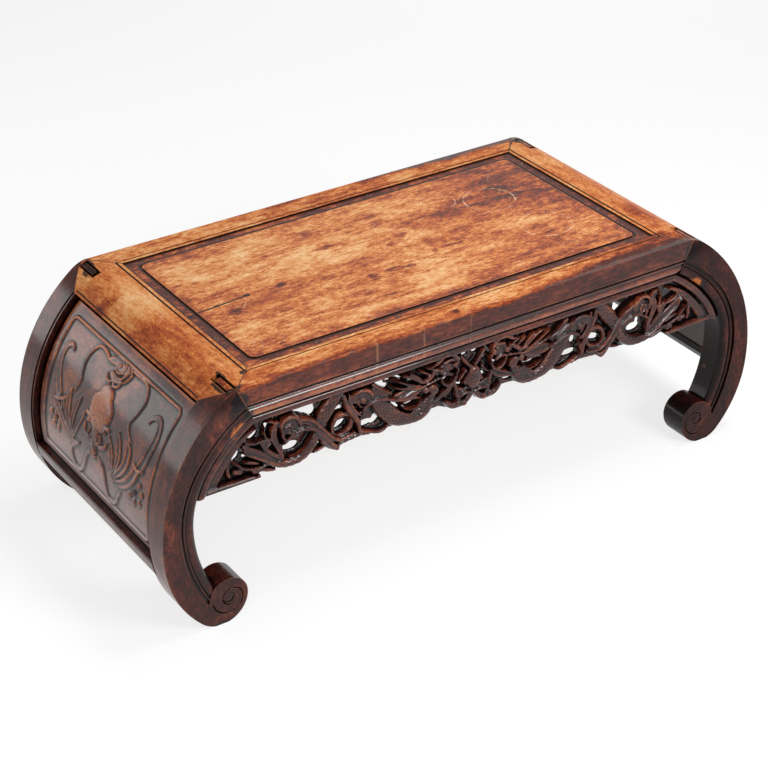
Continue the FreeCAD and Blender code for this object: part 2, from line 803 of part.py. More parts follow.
def end_rail_profile(y_from, y_to):
    """The section of the right end rail: flat on top, rounded outside, cut square at its foot."""
    edges = [arc.edge(low, high) for arc, low, high in clipped(outer_arcs, 0.0, END_RAIL_ANGLE)]
    start = outer_arcs[0].at(0.0)
    last = arc_on(outer_arcs, END_RAIL_ANGLE)
    foot_outer = last.at(END_RAIL_ANGLE)
    foot_inner = last.at(END_RAIL_ANGLE, -END_RAIL_DEPTH)
    low = V(end_rail_inner_x, 0, frame_bottom_z)
    high = V(end_rail_inner_x, 0, TABLE_HEIGHT)
    corners = (foot_outer, foot_inner, low, high, start)
    edges.extend(line(a, b) for a, b in zip(corners, corners[1:]))
    return extruded(edges, y_from, y_to)


def right_end_rail():
    body = end_rail_profile(inner_y, -inner_y)
    cheek = end_rail_profile(front_y, inner_y)
    cheek = cheek.cut(half_space(corner, top_mitre_normal * -1))
    cheek = cheek.cut(half_space(corner, end_mitre_normal * -1))
    body = fused([body, cheek, mirror_y(cheek)])
    bead_start = END_RAIL_ANGLE - math.degrees((END_RAIL_BEAD_WIDTH + END_RAIL_BEAD_DROP) / flank_radius)
    bead_end = END_RAIL_ANGLE - math.degrees(END_RAIL_BEAD_WIDTH / flank_radius)
    bead_line = strip(
        outer_arcs, bead_start, bead_end, OVERRUN, -LIP_GROOVE_DEPTH, inner_y, -inner_y
    )
    body = body.cut(bead_line)
    body = body.cut(panel_groove()).cut(lip_groove())
    body = body.cut(end_groove(-inner_y))
    for cut in (through_mortise(), frame_tenon(JOINT_CLEARANCE)):
        body = body.cut(cut).cut(mirror_y(cut))
    return body


def rounded_rectangle(half_x, half_y, radius, z_from, z_to):
    body = box(-half_x, half_x, -half_y, half_y, z_from, z_to)
    uprights = [edge for edge in body.Edges if edge.BoundBox.ZLength > edge.BoundBox.DiagonalLength * HALF]
    return body.makeFillet(radius, uprights)


def top_panel():
    """The floating panel: a sunk margin, a cut line with rounded corners and the field inside it."""
    top_z = TABLE_HEIGHT - PANEL_SINK
    half_x = end_rail_inner_x - PANEL_GAP
    half_y = -inner_y - PANEL_GAP
    board = box(-half_x, half_x, -half_y, half_y, top_z - PANEL_THICKNESS, top_z)
    tongue_top_z = TABLE_HEIGHT - TONGUE_SINK
    tongue_x = end_rail_inner_x + TONGUE_LENGTH
    tongue_y = -inner_y + TONGUE_LENGTH
    tongue = box(-tongue_x, tongue_x, -tongue_y, tongue_y, tongue_top_z - TONGUE_THICKNESS, tongue_top_z)
    field_x = half_x - PANEL_MARGIN_WIDTH - PANEL_GROOVE_WIDTH
    field_y = half_y - PANEL_MARGIN_WIDTH - PANEL_GROOVE_WIDTH
    margin_z = top_z - PANEL_MARGIN_DEPTH
    groove_z = top_z - PANEL_GROOVE_DEPTH
    high_z = TABLE_HEIGHT + OVERRUN
    field = rounded_rectangle(field_x, field_y, PANEL_CORNER_RADIUS, groove_z, high_z)
    line_x = field_x + PANEL_GROOVE_WIDTH
    line_y = field_y + PANEL_GROOVE_WIDTH
    line_radius = PANEL_CORNER_RADIUS + PANEL_GROOVE_WIDTH
    cut_line = rounded_rectangle(line_x, line_y, line_radius, groove_z, high_z).cut(field)
    margin = box(-tongue_x, tongue_x, -tongue_y, tongue_y, margin_z, high_z).cut(
        rounded_rectangle(line_x, line_y, line_radius, margin_z, high_z)
    )
    body = fused([board.cut(margin).cut(cut_line), tongue])
    for place in batten_places:
        body = body.cut(batten_key(place * BATTEN_SPACING, JOINT_CLEARANCE * HALF))
    return body


def right_lower_rail():
    """The cross rail under the end panel, flush with the legs outside and bevelled inside."""
    body = strip(
        outer_arcs,
        LOWER_RAIL_START_ANGLE,
        LOWER_RAIL_END_ANGLE,
        0.0,
        -LOWER_RAIL_THICKNESS,
        inner_y,
        -inner_y,
    )
    calf = arc_on(outer_arcs, LOWER_RAIL_END_ANGLE)
    foot_inner = calf.at(LOWER_RAIL_END_ANGLE, -LOWER_RAIL_THICKNESS)
    up = calf.at(LOWER_RAIL_START_ANGLE, -LOWER_RAIL_THICKNESS) - foot_inner
    out = calf.at(LOWER_RAIL_END_ANGLE) - foot_inner
    up.normalize()
    out.normalize()
    a = foot_inner + up * LOWER_RAIL_BEVEL
    b = foot_inner + out * LOWER_RAIL_BEVEL
    beyond = foot_inner - (up + out) * OVERRUN
    bevel = extruded([line(a, b), line(b, beyond), line(beyond, a)], inner_y, -inner_y)
    body = body.cut(bevel)
    groove_start = math.degrees(LOWER_RAIL_GROOVE_WIDTH / CALF_RADIUS) + LOWER_RAIL_START_ANGLE
    groove = strip(
        outer_arcs,
        groove_start,
        groove_start + math.degrees(LOWER_RAIL_GROOVE_WIDTH / CALF_RADIUS),
        OVERRUN,
        -LOWER_RAIL_GROOVE_DEPTH,
        inner_y,
        -inner_y,
    )
    body = body.cut(groove).cut(end_groove(-inner_y))
    tenon = lower_tenon(0.0)
    body = fused([body, tenon, mirror_y(tenon)])
    return body.cut(rail_peg()).cut(mirror_y(rail_peg()))


def ellipse_prism(centre, half_width, half_height, slant, depth):
    """A slanted elliptic prism along Y, from the centre's y on. The slant is a share of a turn."""
    long_way = half_width > half_height
    curve = Part.Ellipse(ORIGIN, max(half_width, half_height), min(half_width, half_height))
    face = Part.Face(Part.Wire([curve.toShape()]))
    turn = 0.0 if long_way else FULL_TURN / 4
    face.rotate(ORIGIN, ALONG_Z, turn - slant * FULL_TURN * HALF)
    face.rotate(ORIGIN, ALONG_X, FULL_TURN / 4)
    face.translate(centre)
    return face.extrude(V(0, depth, 0))


def right_end_panel():
    """The curved panel: a board, a tongue all round, a raised border line and a bat in low relief."""
    top_turn = math.degrees(END_PANEL_TOP_GAP / flank_radius)
    start = END_RAIL_ANGLE + top_turn
    end = LOWER_RAIL_START_ANGLE - top_turn
    half_width = -inner_y - END_PANEL_GAP
    board_low = -END_PANEL_SINK - END_PANEL_THICKNESS
    board = strip(outer_arcs, start, end, -END_PANEL_SINK, board_low, -half_width, half_width)
    tongue_y = -inner_y + END_TONGUE_LENGTH
    tongue = strip(
        outer_arcs,
        END_RAIL_ANGLE - tongue_angle(0.0),
        LOWER_RAIL_START_ANGLE + tongue_angle(0.0),
        -END_TONGUE_SINK,
        -END_TONGUE_SINK - END_TONGUE_THICKNESS,
        -tongue_y,
        tongue_y,
    )
    bead_start = start + math.degrees(END_PANEL_TOP_BORDER / flank_radius)
    bead_end = end - math.degrees(END_PANEL_LOW_BORDER / flank_radius)
    bead_y = half_width - END_PANEL_BORDER
    bead_turn = math.degrees(END_BEAD_WIDTH / flank_radius)
    raised = -END_PANEL_SINK + END_BEAD_HEIGHT
    frame = strip(outer_arcs, bead_start, bead_end, raised, -END_PANEL_SINK, -bead_y, bead_y)
    inside_y = bead_y - END_BEAD_WIDTH
    inside = strip(
        outer_arcs,
        bead_start + bead_turn,
        bead_end - bead_turn,
        raised + OVERRUN,
        -END_PANEL_SINK,
        -inside_y,
        inside_y,
    )
    middle = (bead_start + bead_end) * HALF
    half_span = math.radians(bead_end - bead_start) * flank_radius * HALF
    skin = strip(outer_arcs, bead_start, bead_end, -END_PANEL_SINK + BAT_RISE, board_low, -bead_y, bead_y)
    pieces = [board, tongue, frame.cut(inside)]
    for (across, up), (half_across, half_up), slant in bat_shares:
        centre = V(across * inside_y, -TABLE_LENGTH, up * half_span)
        half_width, half_height = half_across * inside_y, half_up * half_span
        blob = ellipse_prism(centre, half_width, half_height, slant, TABLE_LENGTH + TABLE_LENGTH)
        for shape in (blob,) if across == 0 else (blob, mirror_x(blob)):
            placed = shape.copy()
            placed.rotate(ORIGIN, ALONG_Z, SIDE_ANGLE)
            placed.rotate(ORIGIN, ALONG_Y, middle - SIDE_ANGLE)
            placed.translate(arc_on(outer_arcs, middle).at(middle))
            pieces.append(placed.common(skin))
    return fused(pieces)


def arch(inset, foot_drop, depth_from, depth_to):
    """All under the rail and between the legs, down to a drop, sunk all round by an inset."""
    first = inner_arcs[0]
    last = inner_arcs[-1]
    edges = [arc.edge(arc.start, arc.end, -inset) for arc in inner_arcs]
    top = first.at(first.start, -inset)
    side = last.at(last.end, -inset)
    corners = (top, V(0, 0, top.z), V(0, 0, side.z), side)
    edges.extend(line(a, b) for a, b in zip(corners, corners[1:]))
    half = extruded(edges, front_y + depth_from, front_y + depth_to)
    keep = box(0, TABLE_LENGTH, front_y, -front_y, frame_bottom_z - foot_drop, frame_bottom_z - inset)
    half = half.common(keep)
    return fused([half, mirror_x(half)])


def apron_half_length():
    """Half the apron's length at its foot, where it meets the legs."""
    foot_z = frame_bottom_z - APRON_DROP
    arc = next(arc for arc in inner_arcs if arc.at(arc.end).z <= foot_z)
    return arc.centre_x + math.sqrt(arc.radius**2 - (foot_z - arc.centre_z)**2)


def apron_place(shares, depth):
    """A place on the apron at shares of its half length and of its drop."""
    along, down = shares
    return V(along * apron_half_length(), front_y + depth, frame_bottom_z - down * APRON_DROP)


def on_both_sides(shape):
    return [shape, mirror_x(shape)]


def tube(table, radius):
    """A round stem through places of the carving, with balls at its ends."""
    depth = APRON_SETBACK + APRON_THICKNESS * HALF
    places = [apron_place(shares, depth) for shares in table]
    curve = Part.BSplineCurve()
    curve.interpolate(places)
    start = Part.Wire([Part.Circle(places[0], curve.tangent(curve.FirstParameter)[0], radius).toShape()])
    body = Part.Wire([curve.toShape()]).makePipeShell([start], True, True)
    return fused([body, Part.makeSphere(radius, places[0]), Part.makeSphere(radius, places[-1])])


def dome(shares, radius):
    """A rounded boss that stands out of the field nearly to the apron's front, flat at the back."""
    centre = apron_place(shares, APRON_SETBACK + DOME_SINK + radius)
    slab = box(-half_length, half_length, front_y, front_y + APRON_SETBACK + APRON_THICKNESS, 0, TABLE_HEIGHT)
    return Part.makeSphere(radius, centre).common(slab)


def front_apron():
    back = APRON_SETBACK + APRON_THICKNESS
    field_back = APRON_FIELD_SETBACK + APRON_FIELD_THICKNESS
    foot = APRON_DROP - LEDGE_RISE
    field = arch(APRON_FIT_GAP, foot, APRON_FIELD_SETBACK, field_back)
    for shares, (half_across, half_down), slant in opening_shares:
        hole = ellipse_prism(
            apron_place(shares, 0.0),
            half_across * apron_half_length(),
            half_down * APRON_DROP,
            slant,
            back,
        )
        field = field.cut(hole).cut(mirror_x(hole))
    rim = arch(APRON_FIT_GAP, foot, APRON_SETBACK, back)
    rim = rim.cut(arch(APRON_BEAD_WIDTH, APRON_DROP, 0.0, back + OVERRUN))
    ledge = arch(APRON_FIT_GAP, foot, APRON_SETBACK, back)
    ledge_x = apron_half_length() - LEDGE_LENGTH
    ledge_z = frame_bottom_z - foot + LEDGE_HEIGHT
    ledge = ledge.cut(box(-ledge_x, ledge_x, front_y, 0, 0, TABLE_HEIGHT))
    ledge = ledge.cut(box(-half_length, half_length, front_y, 0, ledge_z, TABLE_HEIGHT))
    body = fused([field, rim, ledge])
    for along, half_across, high in scallop_shares:
        hollow = ellipse_prism(
            V(along * apron_half_length(), front_y, frame_bottom_z - foot),
            half_across * apron_half_length(),
            high * APRON_DROP,
            0.0,
            back,
        )
        body = body.cut(hollow).cut(mirror_x(hollow))
    pieces = [body, dome(pearl_shares, PEARL_RADIUS)]
    pieces.extend(on_both_sides(dome(pendant_shares, PENDANT_RADIUS)))
    for shares in head_shares:
        pieces.extend(on_both_sides(dome(shares, HEAD_RADIUS)))
    for shares in cloud_shares:
        pieces.extend(on_both_sides(dome(shares, CLOUD_RADIUS)))
    for table in body_shares:
        pieces.extend(on_both_sides(tube(table, BODY_RADIUS)))
    for table in stem_shares:
        pieces.extend(on_both_sides(tube(table, STEM_RADIUS)))
    pieces.append(apron_tongue(0.0))
    apron = fused(pieces)
    for place in peg_places:
        apron = apron.cut(apron_peg(place))
    return apron


def group(shapes):
    """Separate solids that share one node."""
    return Part.makeCompound(shapes)


def four_corners(shape):
    across = [shape, mirror_x(shape)]
    return across + [mirror_y(each) for each in across]


def apron_pegs():
    front = [apron_peg(place) for place in peg_places]
    return front + [mirror_y(peg) for peg in front]


leg = front_right_leg()
rail = front_long_rail()
end_rail = right_end_rail()
end_panel = right_end_panel()
lower_rail = right_lower_rail()
apron = front_apron()
batten_names = ("left_batten", "centre_batten", "right_batten")

nodes = {
    "front_long_rail": rail,
    "back_long_rail": mirror_y(rail),
    "right_end_rail": end_rail,
    "left_end_rail": mirror_x(end_rail),
    "top_panel": top_panel(),
    "front_right_leg": leg,
    "front_left_leg": mirror_x(leg),
    "back_right_leg": mirror_y(leg),
    "back_left_leg": mirror_x(mirror_y(leg)),
    "right_end_panel": end_panel,
    "left_end_panel": mirror_x(end_panel),
    "right_lower_rail": lower_rail,
    "left_lower_rail": mirror_x(lower_rail),
    "front_apron": apron,
    "back_apron": mirror_y(apron),
    "tenon_wedges": group(four_corners(tenon_wedge())),
    "lower_rail_pegs": group(four_corners(rail_peg())),
    "apron_pegs": group(apron_pegs()),
}
for name, place in zip(batten_names, batten_places):
    nodes[name] = batten(place * BATTEN_SPACING)

os.makedirs("parts", exist_ok=True)
for name, shape in nodes.items():
    shape.exportStep("parts/" + name + ".step")
    print(name, len(shape.Solids), shape.isValid(), round(shape.Volume))
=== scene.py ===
import math

import bpy
import numpy as np
from mathutils import Matrix, Vector
from mathutils.geometry import delaunay_2d_cdt


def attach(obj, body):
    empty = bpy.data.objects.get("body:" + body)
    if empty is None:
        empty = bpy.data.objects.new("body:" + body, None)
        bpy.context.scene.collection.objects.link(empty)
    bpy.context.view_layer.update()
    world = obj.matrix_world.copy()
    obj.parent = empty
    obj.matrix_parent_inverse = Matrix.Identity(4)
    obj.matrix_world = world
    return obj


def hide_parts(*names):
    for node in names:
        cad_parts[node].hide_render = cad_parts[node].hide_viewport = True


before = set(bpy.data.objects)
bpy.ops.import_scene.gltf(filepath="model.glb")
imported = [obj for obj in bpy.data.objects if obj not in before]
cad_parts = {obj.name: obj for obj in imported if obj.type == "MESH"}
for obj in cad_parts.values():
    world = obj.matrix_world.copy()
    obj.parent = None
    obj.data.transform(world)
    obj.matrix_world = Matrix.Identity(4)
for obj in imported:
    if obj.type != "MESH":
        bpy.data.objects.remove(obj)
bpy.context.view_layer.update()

# Camera: the photograph's own, worked out from the object's outline
LENS_MM = 99.07
SENSOR_MM = 36.0
CAMERA_PLACE = (-1.30699, -2.03704, 1.53870)
CAMERA_AZIMUTH = math.radians(-32.439)
CAMERA_ELEVATION = math.radians(30.462)
CAMERA_ROLL = -0.016136

# Light: how much the floor and the world shine by themselves, and half the floor's side in metres
FLOOR_GLOW = 0.76
WORLD_LIGHT = 0.18
FLOOR_HALF = 8.0

# In metres: heights, half sizes of the table, the frame's opening and the panel's field, and worn edges
TABLE_HEIGHT = 0.315
TOP_LEVEL = 0.314
TABLE_HALF_DEPTH = 0.1985
OPENING_HALF = (0.3024, 0.160)
LIP_HALF = (0.2985, 0.1562)
FIELD_HALF = (0.2878, 0.1462)
FIELD_CORNER = 0.012
FRAME_GROOVE_X = 0.3078
WORN_EDGE = 0.0025

# Patches of the worn top in millimetres: x, y, half length, half width, and how much darker
top_patches = (
    (-180, 78, 120, 55, -0.10), (92, 108, 62, 36, -0.09), (-4, -104, 40, 36, -0.11),
    (150, -75, 110, 48, -0.05), (205, 108, 100, 34, 0.20), (256, 30, 40, 62, 0.13),
    (-150, -12, 105, 22, 0.13), (95, 4, 50, 26, 0.06), (30, 90, 13, 20, 0.16), (-68, 101, 18, 10, 0.13),
    (-182, -110, 15, 9, 0.2), (-110, -140, 190, 10, 0.14), (-292, 0, 16, 130, 0.12),
    (230, -132, 70, 10, 0.1), (214, 72, 17, 12, 0.24), (190, 55, 40, 22, 0.1), (-60, 20, 70, 20, -0.05),
    (10, 60, 60, 22, -0.06),
)
top_spots = (
    (-68, 53, 19, 5), (34, 28, 9, 6), (9, 11, 7, 6), (-165, -3, 7, 6), (-244, -33, 10, 8),
    (-22, -48, 13, 7), (-1, -50, 6, 4), (-57, -51, 7, 9), (47, -34, 4, 6), (66, -31, 12, 3),
    (83, -33, 6, 4), (216, 80, 9, 5), (-236, -131, 6, 4), (-86, -85, 8, 4), (49, -57, 7, 2),
    (-272, 66, 9, 2), (-250, 61, 6, 4), (9, -74, 4, 3),
)
top_rings = ((191, 50, 35), (210, -51, 35), (130, 82, 23))
rail_patches = (
    (275, -188, 85, 26, 0.42), (150, -194, 90, 11, 0.22), (-240, -184, 45, 10, -0.08),
    (40, -178, 55, 16, -0.12), (127, 175, 30, 13, -0.16), (36, 178, 18, 12, -0.1),
    (-120, 184, 150, 9, 0.08), (250, 180, 60, 14, 0.1), (-24, -184, 5, 5, 0.5), (-190, -194, 80, 6, 0.12),
    (58, 181, 6, 4, 0.3), (-336, 54, 24, 46, -0.16), (-362, 92, 17, 12, 0.3), (-345, -70, 36, 110, 0.17),
    (-340, 135, 36, 36, 0.1), (335, -120, 34, 50, 0.14), (345, 20, 40, 150, 0.12),
)

# Stains at the mitres, runs of wax and rubbed places: place and radii in metres
stains = (
    (-0.334, -0.199, 0.297, 0.012, 0.008, 0.014), (0.334, -0.199, 0.299, 0.011, 0.008, 0.013),
    (-0.324, -0.199, 0.281, 0.008, 0.006, 0.008), (0.335, 0.188, 0.314, 0.008, 0.014, 0.01),
    (-0.343, 0.168, 0.315, 0.011, 0.014, 0.012), (-0.336, 0.184, 0.315, 0.006, 0.010, 0.012),
    (-0.336, -0.160, 0.315, 0.0035, 0.013, 0.012), (-0.349, -0.175, 0.315, 0.0035, 0.018, 0.012),
    (-0.338, -0.193, 0.315, 0.012, 0.006, 0.012), (-0.311, -0.167, 0.315, 0.006, 0.005, 0.01),
)
pale_runs = ((-0.147, 0.0016), (-0.08, 0.001), (-0.012, 0.0004))
orange_patches = (
    (-0.333, -0.196, 0.252, 0.016), (-0.36, -0.196, 0.222, 0.010), (0.345, -0.196, 0.245, 0.012),
)
crack_knots = ((-0.297, -0.0115, 0.006), (-0.257, -0.0075, 0.0042), (-0.213, -0.0035, 0.0055))

# Tones from the palest wear to the darkest stain: place from 0 to 1, red, green and blue
worn_tones = (
    (0.0, 246, 212, 170), (0.26, 232, 180, 126), (0.46, 216, 142, 80), (0.60, 192, 104, 48),
    (0.76, 152, 66, 32), (1.0, 74, 28, 18),
)
lacquer_tones = (
    (0.0, 192, 110, 62), (0.28, 138, 68, 42), (0.5, 92, 40, 29), (0.72, 56, 24, 20), (1.0, 22, 11, 12),
)


def tone(red, green, blue):
    """A screen colour, 0 to 255, as the linear colour that a shader takes."""
    out = []
    for level in (red, green, blue):
        c = level / 255.0
        out.append(c / 12.92 if c <= 0.04045 else ((c + 0.055) / 1.055) ** 2.4)
    return (*out, 1.0)


# The carving is drawn on sheets: left and top in millimetres, and steps to the millimetre
LEFT_SHEET = (-400.0, 279.05, 7.0)
MIDDLE_SHEET = (-192.0, 279.05, 7.0)
END_SHEET = (-168.0, -72.0, 4.0)

# Strokes: a style and its lines, each with the height of its crest in millimetres and its points:
# steps to the right, steps down, and radius in millimetres
left_strokes = (
    ("flat", (12.6, (640, 222, 1.5), (560, 252, 3.4), (480, 305, 4.8), (405, 370, 5.8), (345, 435, 6.6),
        (285, 510, 7.2), (232, 585, 7.8), (190, 655, 8.2))),
    ("round", (16, (100, 668, 3.6), (250, 669, 3.6), (430, 671, 3.3), (640, 674, 2.8)),
     (11, (372, 470, 1.5), (362, 540, 3), (376, 610, 2)),
     (12.5, (430, 575, 4.2), (475, 590, 4.4)),
     (11, (650, 625, 2.5), (720, 655, 3.5), (800, 682, 3))),
    ("vein", (12.5, (520, 515, 1.6), (580, 532, 3.2), (645, 560, 2))),
    ("round", (13, (385, 458, 1), (440, 500, 1.8), (500, 560, 2.3), (570, 592, 2.6), (640, 606, 2.6),
        (720, 602, 2.4), (790, 610, 2)),
     (15.5, (592, 612, 2.9), (594, 622, 2.9)),
     (15.5, (628, 620, 2.9), (628, 632, 2.9))),
    ("stripes", (14, (514, 352, 3), (590, 428, 6.2), (680, 502, 7.2), (770, 588, 5.5), (850, 640, 3))),
    ("round", (15.8, (503, 362, 1.4), (530, 425, 2), (610, 482, 2.3), (700, 545, 2.5), (790, 612, 2.8),
        (870, 650, 3)),
     (13.5, (520, 303, 1.4), (552, 335, 2.4), (605, 356, 2.4), (660, 366, 1.4))),
    ("vein", (14, (652, 345, 1.2), (690, 410, 2.4), (740, 470, 3), (800, 530, 3.2), (875, 592, 2.6))),
    ("round", (13, (700, 440, 1.2), (770, 520, 2), (850, 596, 2.2)),
     (12, (722, 235, 1), (716, 290, 1.8), (728, 345, 2.2)),
     (12, (738, 198, 1.4), (790, 212, 2.4), (838, 250, 2)),
     (14.5, (688, 368, 4.3), (700, 380, 4.3)),
     (15, (738, 368, 4), (740, 392, 4)),
     (14.2, (705, 410, 2.6), (735, 425, 2.4))),
    ("scales", (14.6, (780, 612, 4), (870, 646, 5.8), (960, 655, 6.6), (1050, 640, 7), (1130, 590, 7),
        (1185, 520, 6.8), (1215, 440, 6.5)),
     (14, (1240, 420, 8.5), (1285, 335, 10.5), (1340, 265, 10.5), (1405, 190, 9), (1440, 150, 8))),
    ("round", (14.5, (940, 602, 0.9), (1010, 600, 1.1), (1080, 565, 1.1), (1130, 510, 1.1),
        (1180, 455, 0.9)),
     (12.5, (1368, 450, 3.2), (1405, 395, 3.4), (1470, 372, 3.4), (1540, 400, 3.4), (1560, 450, 3.4),
        (1540, 520, 3.6), (1470, 566, 3.8), (1395, 560, 3.4), (1362, 500, 3.2), (1368, 450, 3.2)),
     (10.5, (1180, 650, 1.8), (1240, 640, 2.4), (1300, 625, 2))),
    ("flat", (14.4, (905, 330, 8), (960, 300, 12), (1050, 305, 10), (1150, 350, 6.5))),
    ("round", (12.6, (1230, 500, 3), (1290, 580, 5), (1360, 645, 5.5))),
    ("dish", (14.2, (838, 232, 2.6), (804, 290, 4.4), (796, 350, 4.8), (812, 410, 4.6), (838, 470, 4),
        (860, 530, 3.2), (874, 585, 2))),
    ("round", (14.8, (880, 330, 1.8), (884, 380, 2.6), (905, 425, 2.2))),
    ("vein", (16.2, (1045, 290, 4.6), (1105, 305, 5), (1165, 355, 5.5), (1212, 430, 5.5), (1262, 505, 5.5),
        (1315, 570, 5.4), (1372, 640, 5), (1398, 664, 4))),
    ("round", (17.2, (1050, 262, 2.4), (1130, 292, 2.9), (1190, 340, 3), (1242, 410, 3), (1298, 480, 3),
        (1352, 548, 3), (1425, 590, 2.9), (1500, 584, 2.6), (1570, 570, 2.4)),
     (17.6, (872, 335, 1.6), (862, 272, 2.5), (885, 222, 2.9), (935, 202, 3), (992, 216, 3),
        (1030, 262, 2.8), (1046, 315, 1.8)),
     (18, (868, 445, 1), (900, 425, 1.8), (940, 396, 2.1), (985, 373, 2.3), (1050, 362, 2.3),
        (1110, 375, 2.3), (1170, 396, 2.5), (1222, 440, 2.6), (1272, 500, 2.6), (1322, 565, 2.6),
        (1372, 635, 2.4)),
     (16.4, (902, 312, 1.4), (920, 288, 1.8), (955, 290, 2), (972, 325, 2), (955, 358, 1.9),
        (922, 352, 1.4)),
     (16.6, (936, 322, 2.3), (938, 328, 2.3))),
    ("scales", (12.5, (1400, 652, 2.6), (1480, 632, 4.2), (1568, 622, 4.6), (1650, 618, 4.6),
        (1720, 640, 3))),
)
middle_strokes = (
    ("flat", (14.4, (120, 250, 7.5), (220, 262, 11), (320, 285, 8), (430, 328, 4.6))),
    ("round", (12, (325, 190, 3.4), (365, 240, 4.4), (420, 290, 4.8), (495, 330, 4)),
     (13.5, (184, 395, 1.2), (183, 480, 1.4), (180, 560, 1.5), (190, 625, 1.6)),
     (12, (205, 598, 1.6), (290, 640, 2.4), (380, 668, 2.6), (440, 652, 2), (468, 622, 1.4))),
    ("scales", (15.2, (330, 345, 6), (375, 395, 10), (425, 455, 11.8), (490, 535, 11.8), (568, 598, 11),
        (660, 632, 9), (760, 640, 8.5), (835, 612, 8), (880, 560, 7)),
     (14.5, (720, 588, 4), (800, 560, 6.5), (880, 515, 6.5), (925, 470, 5))),
    ("round", (14, (595, 488, 1), (640, 525, 1.5), (700, 545, 1.7), (770, 535, 1.6), (812, 478, 1.2)),
     (12.8, (600, 478, 1), (640, 455, 2), (720, 448, 2.2), (790, 460, 1.8)),
     (16.2, (22, 185, 2.8), (38, 260, 3.6), (78, 350, 4.1), (126, 424, 4), (152, 490, 3.4),
        (164, 560, 2.6), (172, 604, 1.8)),
     (14.6, (70, 186, 2), (82, 270, 2.5), (118, 350, 3), (168, 415, 2.4)),
     (16.6, (120, 202, 1.8), (180, 186, 2.6), (240, 200, 2.9), (285, 240, 2.8), (302, 295, 1.8)),
     (17.4, (192, 388, 1.4), (245, 346, 2.2), (320, 325, 2.4), (400, 338, 2.4), (480, 368, 2.3),
        (535, 388, 1.4)),
     (17.4, (204, 282, 4.8), (206, 290, 4.8)),
     (15.5, (160, 262, 1.2), (160, 310, 1.6), (182, 345, 1.8), (212, 352, 1.4))),
    ("stripes", (12, (520, 372, 1.6), (600, 366, 4.2), (680, 362, 4.4), (755, 358, 3)),
     (14, (512, 402, 2), (590, 414, 4.4), (670, 418, 6), (740, 400, 6), (795, 378, 4))),
    ("round", (14.5, (690, 192, 1.6), (745, 238, 2.5), (800, 292, 2.5)),
     (15, (598, 188, 1.6), (660, 214, 2.5), (722, 250, 2.8), (790, 306, 2.5)),
     (15.8, (520, 215, 1), (580, 238, 1.9), (660, 288, 2.4), (740, 326, 2.5), (800, 345, 2)),
     (16.4, (508, 262, 1.2), (560, 290, 1.9), (640, 316, 2.3), (720, 342, 2.5), (795, 356, 2.3),
        (860, 344, 2.2), (940, 328, 2.2), (1012, 318, 2)),
     (14.5, (790, 205, 1.8), (850, 240, 2.6), (880, 262, 2.4)),
     (15, (860, 195, 1.6), (905, 215, 2.4), (945, 225, 2.2)),
     (11.5, (900, 562, 3), (960, 545, 4), (1020, 530, 4.6), (1085, 505, 4.4), (1120, 470, 3.4)),
     (15.5, (1000, 335, 1.8), (1018, 390, 2.3), (1060, 426, 2.7), (1112, 430, 2.7), (1152, 372, 2.2)),
     (16.8, (790, 302, 2.6), (850, 306, 3.5), (902, 272, 3.6), (942, 236, 3.2), (968, 240, 2.4)),
     (15.6, (1008, 322, 2), (1050, 310, 3), (1112, 330, 2.8))),
    ("flat", (13.8, (960, 280, 4), (1040, 250, 7.5), (1110, 260, 6))),
    ("round", (16.4, (1028, 192, 2.6), (1100, 182, 3.2), (1150, 196, 2.8)),
     (16.5, (1152, 262, 1.8), (1172, 300, 2.1), (1156, 346, 1.8)),
     (18.6, (1000, 262, 3.9), (1002, 268, 3.9)),
     (18.2, (1140, 238, 3.9), (1142, 244, 3.9)),
     (17, (838, 398, 5), (842, 402, 5)),
     (17.2, (905, 400, 6.2), (930, 430, 7)),
     (15.6, (940, 522, 1.5), (1000, 492, 2), (1070, 460, 2.1), (1132, 420, 2.1), (1165, 362, 1.5)),
     (13.5, (1150, 440, 2.4), (1166, 505, 2.9), (1178, 572, 3.2), (1200, 625, 3)),
     (13.6, (1180, 432, 1.5), (1226, 394, 2.2), (1262, 342, 2.2)),
     (15, (1256, 346, 2.8), (1258, 352, 2.8)),
     (12.6, (1220, 200, 2.2), (1262, 260, 3.2), (1300, 310, 3), (1330, 330, 2.8))),
    ("ribs", (14, (1262, 470, 3.6), (1300, 400, 5), (1344, 360, 6))),
    ("flat", (11, (1180, 520, 4), (1260, 560, 6), (1344, 545, 7))),
    ("round", (14.5, (1060, 600, 2.6), (1110, 650, 4.6), (1170, 668, 5.4), (1240, 664, 5.4),
        (1300, 620, 4.2), (1344, 566, 3.6)),
     (16.2, (1176, 640, 4.4), (1180, 650, 4.4)),
     (16.8, (1236, 650, 4.6), (1240, 660, 4.6)),
     (15.4, (1190, 590, 1.6), (1240, 570, 2.4), (1300, 570, 2.2), (1344, 590, 1.6))),
    ("ribs", (17.6, (1344, 380, 9), (1344, 440, 12.2), (1344, 480, 10))),
    ("round", (19, (880, 182, 1.4), (930, 168, 2.2), (976, 150, 2.6), (1012, 116, 2.8), (1062, 106, 2.8),
        (1112, 132, 2.8), (1150, 172, 2.6), (1166, 216, 1.8))),
)
left_holes = (
    (440, 440, 62, 50, 30), (600, 300, 85, 48, 20), (560, 470, 40, 30, 0), (775, 455, 36, 66, -30),
    (940, 485, 26, 48, 0), (1040, 420, 58, 38, 0), (985, 530, 75, 42, 0), (1120, 225, 110, 46, 0),
    (1185, 262, 50, 46, 0), (1435, 335, 44, 30, 0), (1450, 485, 78, 32, 20), (700, 650, 50, 26, 0),
    (1248, 585, 28, 42, 0), (760, 280, 34, 50, 0),
)
